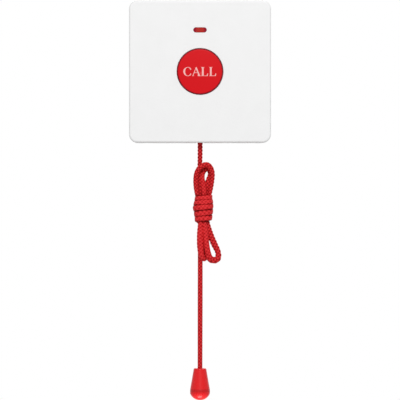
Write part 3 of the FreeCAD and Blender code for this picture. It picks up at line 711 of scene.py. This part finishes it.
@dataclass
class Studio:
    """The camera at the photograph's place, soft lamps and a pale floor under the pull.

    The lens and the sensor are in millimetres. The frame's width is what the picture spans at
    the distance of the face.
    """

    lens: float = 200.0
    sensor: float = 36.0
    furthest: float = 20.0
    frame_width: float = 242.24 * MM
    face: float = 16 * MM
    centre: Triple = (0.0, 0.0, -77.82 * MM)
    lamps: tuple[Lamp, ...] = (
        Lamp("key", (0.1, -1.5, 0.92), 0.5, 17.8),
        Lamp("fill", (-0.1, -1.3, -0.95), 0.6, 1.6),
        Lamp("back", (0.3, 1.5, 0.8), 0.9, 7.0),
        Lamp("kicker", (0.0, -0.0155, -0.212), 0.01, 0.0026),
    )
    ambient: float = 0.46
    floor_z: float = -260 * MM
    floor_radius: float = 0.12
    floor_sides: int = 96
    floor_patch: float = 0.12
    floor_tones: Pair = (0.78, 0.8)
    floor_glow: float = 0.42

    def build(self) -> None:
        """Set the camera, the lamps, the world and the floor."""
        self._camera()
        for lamp in self.lamps:
            lamp.hang(self.centre)
        self._world()
        self._floor()
        bpy.context.scene.view_settings.view_transform = "Standard"

    def _camera(self) -> None:
        """Look along the wall's normal; the distance gives the photograph's scale at the face."""
        data = bpy.data.cameras.new("camera")
        data.lens = self.lens
        data.sensor_width = self.sensor
        data.clip_end = self.furthest
        camera = bpy.data.objects.new("camera", data)
        distance = self.frame_width * self.lens / self.sensor
        camera.location = (0.0, -self.face - distance, self.centre[2])
        camera.rotation_euler = (math.pi / 2, 0.0, 0.0)
        bpy.context.scene.collection.objects.link(camera)
        bpy.context.scene.camera = camera

    def _world(self) -> None:
        """White where it is seen, reflected or seen through, and a softer white as light."""
        bpy.context.scene.world = bpy.data.worlds.new("surroundings")
        recipe = Recipe(bpy.context.scene.world)
        path = recipe.node("ShaderNodeLightPath").outputs
        clear = Signal(recipe, path["Is Camera Ray"]).most(path["Is Glossy Ray"])
        soft, full = (
            recipe.node("ShaderNodeBackground", {}, {"Color": grey(1.0), "Strength": strength})
            for strength in (self.ambient, 1.0))
        mix = recipe.node("ShaderNodeMixShader", {}, {
            0: clear.most(path["Is Transmission Ray"]), 1: soft.outputs[0], 2: full.outputs[0]})
        recipe.node("ShaderNodeOutputWorld", {}, {"Surface": mix.outputs[0]})

    def _floor(self) -> None:
        """A round floor of one face: its edge is the radius times the turn's cosine and sine."""
        turns = np.linspace(0, 2 * math.pi, self.floor_sides, endpoint=False)
        points = np.stack([self.floor_radius * np.cos(turns), self.floor_radius * np.sin(turns),
                           np.full_like(turns, self.floor_z)], axis=-1)
        mesh = bpy.data.meshes.new("floor")
        mesh.from_pydata(points.tolist(), [], [list(range(len(turns)))])
        recipe = Recipe(bpy.data.materials.new("floor_paper"))
        tone = recipe.blend(recipe.noise(self.floor_patch, 3.0), *map(grey, self.floor_tones))
        plain = recipe.node("ShaderNodeBsdfDiffuse", {}, {"Color": tone}).outputs[0]
        glow = recipe.node("ShaderNodeEmission", {}, {"Strength": self.floor_glow}).outputs[0]
        lit = recipe.node("ShaderNodeAddShader", {}, {0: plain, 1: glow}).outputs[0]
        seen = recipe.node("ShaderNodeLightPath").outputs["Is Camera Ray"]
        mix = recipe.node("ShaderNodeMixShader", {}, {0: seen, 1: plain, 2: lit})
        recipe.node("ShaderNodeOutputMaterial", {}, {"Surface": mix.outputs[0]})
        mesh.materials.append(recipe.owner)
        floor = bpy.data.objects.new("floor", mesh)
        bpy.context.scene.collection.objects.link(floor)


# ---------------------------------------------------------------- the pull cord


@dataclass
class PullCord:
    """The braided cord from the slider's knot through its tied-up hank to the pull's knot.

    The braid: each carrier goes once round in the lay, and a yarn stands up by its height, less or
    more by the crossing. The valley is how much painted shade darkens a pit between the wound
    turns, and the closing how far a pit can close. The slanting direction is never along the cord.

    The winding, in millimetres: its axis lies at hank_y, and each turn has a level, a middle, a
    reach and a radius at its front, with last_side the level beside the last one. The lead is
    how far the ends go on. A pressed point keeps a share of what it stands out by.

    The route, in millimetres: each station is a control point and the cord's radius there.
    """

    diameter: float = 3.0 * MM
    exit: Triple = (0.0, -0.008, -0.043)
    carriers: int = 8
    lay: float = 8.4 * MM
    ring: int = 48
    step: float = 0.31 * MM
    path_step: int = 4
    slanting: Triple = (0.0, 0.8, 0.6)
    yarn_height: float = 0.28 * MM
    crossing: float = 0.14 * MM
    # painted shade: how much darker a point sunk between the wound turns is
    valley_shade: float = 0.8
    closing: float = 0.75
    hank_y: float = -8.0
    turn_points: int = 16
    levels: tuple[float, ...] = (-76.5, -79.2, -82.2, -85.6, -88.9)
    last_side: float = -88.4
    lead: float = 0.5
    middles: tuple[float, ...] = (2.2, 2.2, 1.85, 2.05, 2.1)
    reaches: tuple[float, ...] = (5.95, 6.5, 6.95, 6.45, 5.95)
    wound: tuple[float, ...] = (1.6, 1.65, 1.85, 2.0, 1.9)
    squareness: float = 2.6
    pressed: float = 0.3
    press_depth: float = 0.8
    press_edge: float = 0.3
    press_above: float = 2.0
    press_below: float = 2.4
    upper: Stations = (
        (0.0, -8.0, -24.6, 1.3), (0.15, -7.9, -50.5, 1.6), (-0.2, -7.2, -58.0, 1.5),
        (-0.1, -7.3, -66.5, 1.5), (0.2, -7.6, -75.2, 1.45))
    down: Stations = ((0.7, -8.4, -80.0, 1.3), (0.8, -9.4, -85.0, 1.4))
    bight: Stations = (
        (0.6, -9.8, -89.2, 1.6), (0.1, -10.1, -98.0, 2.05), (0.1, -10.0, -105.5, 2.1),
        (0.9, -9.0, -113.1, 1.8), (3.6, -5.2, -113.9, 1.8), (2.9, -4.9, -105.5, 1.7),
        (2.4, -5.8, -98.0, 1.65), (2.4, -5.4, -89.2, 1.4))
    back_up: Stations = ((1.6, -6.2, -85.0, 1.3), (-0.4, -7.2, -80.0, 1.3))
    arch: Stations = (
        (-1.6, -9.0, -75.2, 1.5), (-2.7, -9.0, -68.5, 1.6), (-2.4, -10.2, -61.6, 1.65),
        (0.3, -11.4, -57.3, 1.7), (4.8, -10.9, -55.9, 1.8), (7.6, -9.0, -60.2, 1.75),
        (7.1, -7.4, -67.4, 1.65), (5.5, -6.6, -75.6, 1.5))
    down_again: Stations = ((4.2, -7.6, -80.0, 1.3), (4.4, -7.6, -85.0, 1.4))
    loop_down: Stations = (
        (3.8, -8.1, -89.2, 1.6), (5.3, -7.6, -96.2, 1.95), (8.45, -7.8, -104.4, 2.1),
        (11.4, -8.2, -109.8, 1.8), (10.9, -8.4, -114.5, 2.05), (6.1, -8.9, -114.4, 2.2))
    loop_up: Stations = (
        (4.6, -9.6, -109.4, 1.85), (3.7, -10.0, -103.0, 1.85), (3.2, -10.0, -97.0, 1.8),
        (2.3, -9.6, -89.2, 1.5))
    up_again: Stations = ((3.2, -9.4, -85.0, 1.3), (2.8, -9.0, -80.0, 1.3))
    inner_arch: Stations = (
        (2.5, -9.4, -75.6, 1.6), (2.2, -8.6, -69.5, 1.65), (0.9, -7.2, -62.8, 1.6))
    inner_down: Stations = (
        (2.9, -7.0, -58.9, 1.7), (5.7, -6.5, -58.9, 1.75), (6.7, -6.1, -62.4, 1.7),
        (4.3, -7.6, -67.2, 1.7), (4.4, -5.8, -74.0, 1.6), (6.0, -6.0, -76.0, 1.6))
    lower: Stations = (
        (-1.8, -5.2, -89.9, 1.6), (-0.2, -4.2, -91.2, 1.5), (0.5, -4.6, -93.6, 1.45),
        (0.4, -5.6, -97.0, 1.45), (0.1, -6.2, -104.0, 1.5), (0.15, -6.3, -117.0, 1.6),
        (0.0, -8.0, -183.2, 1.45))

    def build(self, yarn: bpy.types.Material) -> None:
        """Make the cord and say what it is.

        Args:
            yarn: the braid's finish.
        """
        rings, crown, across, points, length = self._braid(*self._line(self._route()))
        mesh = tube_mesh("pull_cord", rings)
        add_reading(mesh, "crown", crown)
        add_reading(mesh, "across", across)
        cord = link_mesh("pull_cord", mesh, yarn, "pull")
        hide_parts("cord_upper", "cord_hank", "cord_lower")
        log.info("pull_cord: %.0f mm long", length / MM)

    def _winding(self) -> Stations:
        """The turns round the hank: a rounded square whose height, middle and reach vary.

        A point at angle a lies at the reach, less the cord's radius, divided by the p-th root of
        |cos a|^p + |sin a|^p from the axis. The heights, middles, reaches and radii are given for
        the front of each turn, and run evenly from one to the next.

        Returns:
            The stations of the turns, from the first to the last.
        """
        quarter = math.pi / 2
        fronts = (np.arange(len(self.levels)) + 0.25) * 2 * math.pi
        last = fronts[-1] + quarter
        angles = np.linspace(0.0, last, len(self.levels) * self.turn_points)
        height = np.interp(
            angles, [0.0, *fronts[:-1], fronts[-1] - quarter, fronts[-1], last],
            [self.levels[0] + self.lead, *self.levels[:-1], self.last_side, self.levels[-1],
             self.levels[-1] - self.lead])
        middle = np.interp(angles, fronts, self.middles)
        radius = np.interp(angles, fronts, self.wound)
        reach = np.interp(angles, fronts, self.reaches) - radius
        round_off = self._off_axis(np.cos(angles), np.sin(angles))
        points = np.stack([middle + reach * np.cos(angles) / round_off,
                           self.hank_y - reach * np.sin(angles) / round_off,
                           height, radius], axis=-1)
        return tuple(map(tuple, points.tolist()))

    def _off_axis(self, x: np.ndarray, y: np.ndarray) -> np.ndarray:
        """How far points lie from the hank's axis, counted so that its rounded square is level.

        Args:
            x: distances to the right of the axis.
            y: distances behind it.

        Returns:
            The p-th root of |x|^p + |y|^p.
        """
        power = self.squareness
        return (np.abs(x) ** power + np.abs(y) ** power) ** (1 / power)

    def _press(self, rings: np.ndarray) -> tuple[np.ndarray, np.ndarray]:
        """Flatten the outer side of the wound turns, as a tight winding does.

        The limit is the reach less the press's depth. A point beyond it keeps only a share of
        what it stands out by, and the press fades out over the last millimetre above the first
        turn and below the last. A point is deep where it lies well within the limit.

        Args:
            rings: the cord's rings of points.

        Returns:
            The rings with the turns pressed, and how deep each point lies between them, 0 to 1.
        """
        levels = np.array(self.levels)[::-1] * MM
        z = rings[..., 2]
        middle = np.interp(z, levels, np.array(self.middles)[::-1] * MM)
        limit = np.interp(z, levels, np.array(self.reaches)[::-1] * MM) - self.press_depth * MM
        x, y = rings[..., 0] - middle, rings[..., 1] - self.hank_y * MM
        off = np.maximum(self._off_axis(x, y), 1e-6)
        inside = np.minimum(levels[-1] - z + self.press_above * MM,
                            z - levels[0] + self.press_below * MM)
        here = np.clip(inside / MM, 0, 1)
        shrink = 1 - here * (1 - self.pressed) * np.maximum(off - limit, 0) / off
        within = limit + self.press_edge * MM - off
        sunk = here * np.clip(within / (self.press_depth * MM), 0, 1)
        return np.stack([middle + x * shrink, self.hank_y * MM + y * shrink, z], axis=-1), sunk

    def _route(self) -> np.ndarray:
        """The cord's control points from knot to knot.

        Returns:
            For each point, its place and the radius in millimetres, and how far the braid's pits
            are closed there.
        """
        sections = (
            (self.upper, 0.0), (self.down, 0.3), (self.bight, 0.6), (self.back_up, 0.3),
            (self.arch, 0.2), (self.down_again, 0.2), (self.loop_down, 0.2), (self.loop_up, 0.6),
            (self.up_again, 0.3), (self.inner_arch, 0.5), (self.inner_down, 0.0),
            (self._winding(), 0.72), (self.lower, 0.2))
        return np.concatenate([
            np.column_stack([points, np.full(len(points), closed)])
            for points, closed in sections])

    @staticmethod
    def _line(route: np.ndarray) -> tuple[np.ndarray, np.ndarray]:
        """Read the points of the smooth line that a route controls.

        Each control point between the ends pulls the middle of one of the spline's segments.

        Args:
            route: the control points with their radii and closings.

        Returns:
            The line's points, close together, and at each the radius and the closing.
        """
        control = route * np.array([MM, MM, MM, MM, 1.0])
        curve = bpy.data.curves.new("cord_line", "CURVE")
        curve.dimensions = "3D"
        spline = curve.splines.new("NURBS")
        spline.points.add(len(control) - 1)
        weighted = np.column_stack([control[:, :3], np.ones(len(control))])
        spline.points.foreach_set("co", weighted.ravel())
        spline.order_u = 3
        spline.use_endpoint_u = True
        spline.resolution_u = 12
        holder = bpy.data.objects.new("cord_line", curve)
        mesh = bpy.data.meshes.new_from_object(holder)
        points = np.empty(len(mesh.vertices) * 3)
        mesh.vertices.foreach_get("co", points)
        bpy.data.objects.remove(holder)
        bpy.data.meshes.remove(mesh)
        bpy.data.curves.remove(curve)
        points = points.reshape(-1, 3)
        pulls = (np.arange(len(control)) - 0.5) * len(points) / (len(control) - 2)
        return points, np.column_stack([
            np.interp(np.arange(len(points)), pulls, control[:, column]) for column in (3, 4)])

    def _evenly(self, line: np.ndarray, traits: np.ndarray) -> tuple[np.ndarray, ...]:
        """Space points evenly along a line.

        Args:
            line: the line's points.
            traits: the radius and the closing at each.

        Returns:
            The even points, how far along the line each lies, and the radius and closing there.
        """
        gaps = np.linalg.norm(np.diff(line, axis=0), axis=1)
        run = np.concatenate([[0.0], np.cumsum(gaps)])
        places = np.linspace(0, run[-1], int(run[-1] / self.step))
        even = np.stack([np.interp(places, run, line[:, axis]) for axis in range(3)], axis=-1)
        return (even, places, *(np.interp(places, run, trait)[:, None] for trait in traits.T))

    def _steady_frame(self, points: np.ndarray) -> tuple[np.ndarray, np.ndarray]:
        """Two directions square to a line that don't turn about it.

        The first guess is square to the line and to a fixed slanting direction. The angle that
        it turns about the line from point to point is summed, and it is turned back by that.

        Args:
            points: even points of the line.

        Returns:
            The two directions at each point.
        """
        ahead = np.gradient(points, axis=0)
        ahead /= np.linalg.norm(ahead, axis=1, keepdims=True)
        side = np.cross(ahead, self.slanting)
        side /= np.linalg.norm(side, axis=1, keepdims=True)
        other = np.cross(ahead, side)
        turned = np.arctan2(
            (side[1:] * other[:-1]).sum(axis=1), (side[1:] * side[:-1]).sum(axis=1))
        angle = -np.concatenate([[0.0], np.cumsum(turned)])[:, None]
        return (np.cos(angle) * side + np.sin(angle) * other,
                np.cos(angle) * other - np.sin(angle) * side)

    def _braid(
            self, line: np.ndarray, traits: np.ndarray
    ) -> tuple[np.ndarray, np.ndarray, np.ndarray, np.ndarray, float]:
        """The braid's surface round a line.

        Half of the carriers wind one way and half the other. At angle t and distance s, u and v
        count the carriers of each kind that have passed: n (t - k s) / 2 pi and
        n (t + k s) / 2 pi. A carrier stands up as the cosine of pi d, d being the distance to the
        middle of the nearest one, and rises and dips by a cosine as it crosses the others. The
        higher of the two kinds is the surface. Where the cord is pressed its pits close in part.

        Args:
            line: the cord's line.
            traits: the radius and the closing at each of its points.

        Returns:
            The rings of points, the height of each from 0 to 1, less painted shade where it lies sunk
            between the wound turns, and its place across its yarn, both also for the middles of the two
            ends, the even points of the line, and the cord's length.
        """
        points, places, full, closed = self._evenly(line, traits)
        side, other = self._steady_frame(points)
        angle = np.linspace(0, 2 * math.pi, self.ring, endpoint=False)[None, :]
        slant = 2 * math.pi / self.lay * places[:, None]
        kinds = self.carriers // 2
        right = kinds * (angle - slant) / (2 * math.pi)
        left = kinds * (angle + slant) / (2 * math.pi)
        heights, offsets = [], []
        for own, cross, sign in ((right, left, 1.0), (left, right, -1.0)):
            offset = own - np.round(own)
            dome = np.cos(math.pi * offset)
            weave = sign * np.cos(math.pi * (cross + np.round(own)))
            heights.append(self.yarn_height * dome + self.crossing * weave)
            offsets.append(offset)
        top = np.maximum(*heights)
        across = np.where(heights[0] > heights[1], offsets[0], offsets[1])
        highest = self.yarn_height + self.crossing
        top += self.closing * closed * (highest - top)
        radius = full - highest + top
        rings = (points[:, None, :]
                 + radius[..., None] * np.cos(angle)[..., None] * side[:, None, :]
                 + radius[..., None] * np.sin(angle)[..., None] * other[:, None, :])
        rings, sunk = self._press(rings)
        # painted shade: points sunk between the wound turns lower their crown reading, which darkens them
        crown = np.clip(top / highest - self.valley_shade * sunk, 0, 1)
        return (rings, np.append(crown, [0.5, 0.5]), np.append(across, [0.0, 0.0]), points,
                float(places[-1]))


# ---------------------------------------------------------------- the legend


@dataclass
class Legend:
    """The plain word on the button, in upright capitals with thin serifs.

    The stem and the hair are its thick and thin strokes, and the starts are the letters' left
    edges. The C is open by the opening, in degrees, on both sides of its middle. The face is
    the button's edge, and its crown rises over the reach.
    """

    height: float = 5.4 * MM
    stem: float = 1.05 * MM
    hair: float = 0.26 * MM
    serif: float = 0.4 * MM
    rise: float = 0.03 * MM
    centre_x: float = -0.15 * MM
    centre_z: float = -0.1 * MM
    face: float = 16.8 * MM
    crown: float = 0.3 * MM
    crown_reach: float = 13.0 * MM
    starts: tuple[float, ...] = (-9.95 * MM, -4.75 * MM, 0.75 * MM, 5.6 * MM)
    opening: float = 42.0
    sweep_points: int = 40

    def build(self, ink: bpy.types.Material) -> None:
        """Cut the letters out of one flat curve, then lay them on the button's crowned face.

        Args:
            ink: the print's finish.
        """
        curve = bpy.data.curves.new("legend", "CURVE")
        curve.dimensions = "2D"
        curve.fill_mode = "BOTH"
        curve.extrude = self.rise
        letters = (self._letter_c(), self._letter_a(), self._letter_l(), self._letter_l())
        for start, outlines in zip(self.starts, letters):
            for outline in outlines:
                self._add_outline(curve, outline + np.array([start, 0.0]))
        holder = bpy.data.objects.new("legend", curve)
        mesh = bpy.data.meshes.new_from_object(holder)
        bpy.data.objects.remove(holder)
        self._lay_on_face(mesh)
        link_mesh("button_legend", mesh, ink, "call_button")

    @staticmethod
    def _add_outline(curve: bpy.types.Curve, outline: np.ndarray) -> None:
        """Add a closed outline to a curve.

        Args:
            curve: the curve.
            outline: its points, two columns.
        """
        spline = curve.splines.new("POLY")
        spline.points.add(len(outline) - 1)
        full = np.column_stack([outline, np.zeros(len(outline)), np.ones(len(outline))])
        spline.points.foreach_set("co", full.ravel())
        spline.use_cyclic_u = True

    def _lay_on_face(self, mesh: bpy.types.Mesh) -> None:
        """Stand the flat letters up and bend them to the face.

        A point (x, y, t) goes to x, to the height y, and in front of the wall by the face's
        height plus t; the face falls from its crown by the square of the distance from its
        middle.

        Args:
            mesh: the flat letters.
        """
        points = np.empty(len(mesh.vertices) * 3)
        mesh.vertices.foreach_get("co", points)
        flat = points.reshape(-1, 3)
        x, z = flat[:, 0] + self.centre_x, flat[:, 1] + self.centre_z - self.height / 2
        fall = self.crown * (x ** 2 + z ** 2) / self.crown_reach ** 2
        depth = self.face + self.crown - fall + flat[:, 2]
        mesh.vertices.foreach_set("co", np.stack([x, -depth, z], axis=-1).ravel())
        mesh.update()

    def _letter_l(self) -> list[np.ndarray]:
        """An L: a thick stem with thin feet, and a foot that turns up at its end.

        Returns:
            Its outline, from h, s, t, w and e: height, stem, hair, width and serif.
        """
        h, s, t, w = self.height, self.stem, self.hair, 0.78 * self.height
        e = self.serif
        return [np.array([
            (0, 0), (w - 0.25 * e, 0), (w + 0.25 * e, 0.3 * h), (w - 0.5 * e, 0.3 * h),
            (w - 2.2 * e, t), (1.4 * e + s, t), (1.4 * e + s, h - t), (2.8 * e + s, h - 0.6 * t),
            (2.8 * e + s, h), (0, h), (0, h - 0.6 * t), (1.4 * e, h - t), (1.4 * e, t),
            (0, 0.6 * t)])]

    def _letter_a(self) -> list[np.ndarray]:
        """An A: a thin left leg, a thick right leg, a thin bar and a foot under each leg.

        Returns:
            Its outline and that of the space above the bar, from the same five sizes as the L.
        """
        h, s, t, w = self.height, self.stem, self.hair, 0.98 * self.height
        e = self.serif
        peak = 0.46 * w
        outer = np.array([
            (0, 0), (3.2 * e, 0), (3.2 * e, 0.6 * t), (2.2 * e, t), (1.6 * e + 0.17 * w, 0.36 * h),
            (w - 1.6 * e - s * 0.7 - 0.07 * w, 0.36 * h), (w - 1.4 * e - s, t),
            (w - 2.4 * e - s, 0.6 * t), (w - 2.4 * e - s, 0), (w, 0), (w, 0.6 * t),
            (w - 0.9 * e, t), (peak + 0.35 * s, h), (peak - 0.05 * s, h), (1.1 * e, t),
            (0, 0.6 * t)])
        inner = np.array([
            (0.17 * w + 2.0 * e, 0.36 * h + t), (peak - 0.12 * s, 0.80 * h),
            (w - 1.5 * e - 0.9 * s - 0.08 * w, 0.36 * h + t)])
        return [outer, inner]

    def _letter_c(self) -> list[np.ndarray]:
        """A C: the space between two ellipses, open at the right, with a beak at each end.

        Returns:
            Its outline, from the same sizes as the L, but for the serif.
        """
        h, s, t, w = self.height, self.stem, self.hair, 0.92 * self.height
        middle, half, reach = h / 2, h / 2 + 0.12 * t, 0.54 * w
        angles = np.radians(np.linspace(self.opening, 360 - self.opening, self.sweep_points))
        sweep = np.stack([
            reach + reach * np.cos(angles), middle + half * np.sin(angles)], axis=-1)
        back = np.stack([
            reach + 0.06 * s + (reach - 0.98 * s) * np.cos(angles[::-1]),
            middle + (half - t) * np.sin(angles[::-1])], axis=-1)
        low_beak = [(0.97 * w, 0.34 * h)]
        high_beak = [(0.90 * w, 0.67 * h), (0.95 * w, 0.67 * h)]
        return [np.concatenate([sweep, low_beak, back, high_beak])]


# ---------------------------------------------------------------- the springs


@dataclass
class CoilSprings:
    """The springs that a joint shortens: each CAD coil again, as one closed mesh.

    Points nearer than the merge's distance become one, and an edge above the angle stays sharp.
    """

    merge: float = 0.0001 * MM
    sharp: float = math.radians(40)

    def build(self, wire: bpy.types.Material) -> None:
        """Build every spring that the record's joints name.

        Args:
            wire: the springs' finish.
        """
        for joint in frame["record"]["behaviour"]["joints"]:
            for spring in joint.get("deforming_nodes", []):
                self._build_coil(spring, wire)

    def _coil_mesh(self, name: str) -> bpy.types.Mesh:
        """Copy a CAD coil's mesh and join its loose triangles into one closed skin.

        Args:
            name: the CAD piece.

        Returns:
            The mesh, smooth but for its sharp edges.
        """
        skin = bmesh.new()
        skin.from_mesh(frame["nodes"][name].data)
        bmesh.ops.remove_doubles(skin, verts=skin.verts, dist=self.merge)
        mesh = bpy.data.meshes.new(name)
        skin.to_mesh(mesh)
        skin.free()
        stored = mesh.attributes.get("custom_normal")
        if stored:
            mesh.attributes.remove(stored)
        mesh.shade_smooth()
        mesh.set_sharp_from_angle(angle=self.sharp)
        return mesh

    def _build_coil(self, spring: dict, wire: bpy.types.Material) -> None:
        """Put one coil in the place of its CAD piece.

        Args:
            spring: the record's entry of the spring.
            wire: the spring's finish.
        """
        name, letter = spring["node"], spring["mode"][-1]
        coil = link_mesh(f"{name}_coil", self._coil_mesh(name), wire, "housing")
        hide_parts(name)
        axis = np.array([letter == "x", letter == "y", letter == "z"], dtype=float)
        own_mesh(coil)


# ---------------------------------------------------------------- dressing the CAD pieces


class Dress(Enum):
    """The finish of each of the record's material slots."""

    WHITE_COVER = MouldedPlastic("white_cover", (243, 243, 243), 0.5, gloss=0.15)
    WHITE_BASE = MouldedPlastic("white_base", (238, 238, 236), 0.5)
    # painted shade: a darker ring on the button's rounded edge, from 13.1 mm out
    RED_BUTTON = MouldedPlastic("red_button", (214, 14, 24), 0.4, gloss=0.12, shade_band=(150, 10, 28),
                                shade_band_start=13.1 * MM)
    # painted shade: the second colour darkens the window's two ends
    RED_LENS = TintedLens("red_lens", (176, 46, 38), (146, 20, 42), 2.0 * MM)
    # painted shade: a darker band round the pull just above the joint of bell and plug
    RED_PULL = MouldedPlastic("red_pull", (227, 26, 30), 0.34, gloss=0.22, coat=0.05,
                              shade_band=(200, 18, 22), shade_band_start=192.6 * MM, shade_band_end=194.7 * MM)
    # painted highlight on the yarn's crowns and painted shade in its valleys
    RED_CORD = BraidedYarn("red_cord", (236, 54, 58), (184, 14, 18), (104, 3, 5))
    GREY_PLASTIC = MouldedPlastic("grey_plastic", (178, 178, 180), 0.5)
    BLACK_PLASTIC = MouldedPlastic("black_plastic", (36, 36, 38), 0.45)
    BROWN_PLASTIC = MouldedPlastic("brown_plastic", (96, 66, 44), 0.4)
    BOARD = CircuitBoard("board", (22, 92, 50), (44, 128, 72))
    CELL_WRAP = CellSleeve("cell_wrap", (30, 34, 44), (196, 160, 60), (200, 200, 196), 13.0 * MM)
    SPRING_STEEL = WorkedMetal("spring_steel", (198, 198, 200), 0.3)
    ZINC = WorkedMetal("zinc", (206, 206, 200), 0.35)
    CAN_METAL = WorkedMetal("can_metal", (214, 214, 212), 0.22)
    CONTACT_METAL = WorkedMetal("contact_metal", (216, 214, 208), 0.25)
    COPPER = WorkedMetal("copper", (190, 110, 62), 0.28)


class Wardrobe:
    """The materials by slot, and the dressing of the CAD's own pieces."""

    def __init__(self) -> None:
        """Build each finish once."""
        self.materials = {dress.name.lower(): dress.value.make() for dress in Dress}
        self.ink = PrintedInk("white_print", (246, 184, 180)).make()

    def dress_nodes(self) -> None:
        """Give every CAD piece the finish of its slot."""
        for part in frame["record"]["subparts"]:
            node = frame["nodes"][part["node"]]
            node.data.materials.clear()
            node.data.materials.append(self.materials[part["material_slot"]])
            log.info("%s: %s", part["node"], part["material_slot"])


def main() -> None:
    """Build the scene in order: camera and light, cord, springs, finishes, legend."""
    logging.basicConfig(level=logging.INFO, format="%(message)s")
    Studio().build()
    wardrobe = Wardrobe()
    PullCord().build(wardrobe.materials["red_cord"])
    CoilSprings().build(wardrobe.materials["spring_steel"])
    wardrobe.dress_nodes()
    Legend().build(wardrobe.ink)


if __name__ == "__main__":
    main()
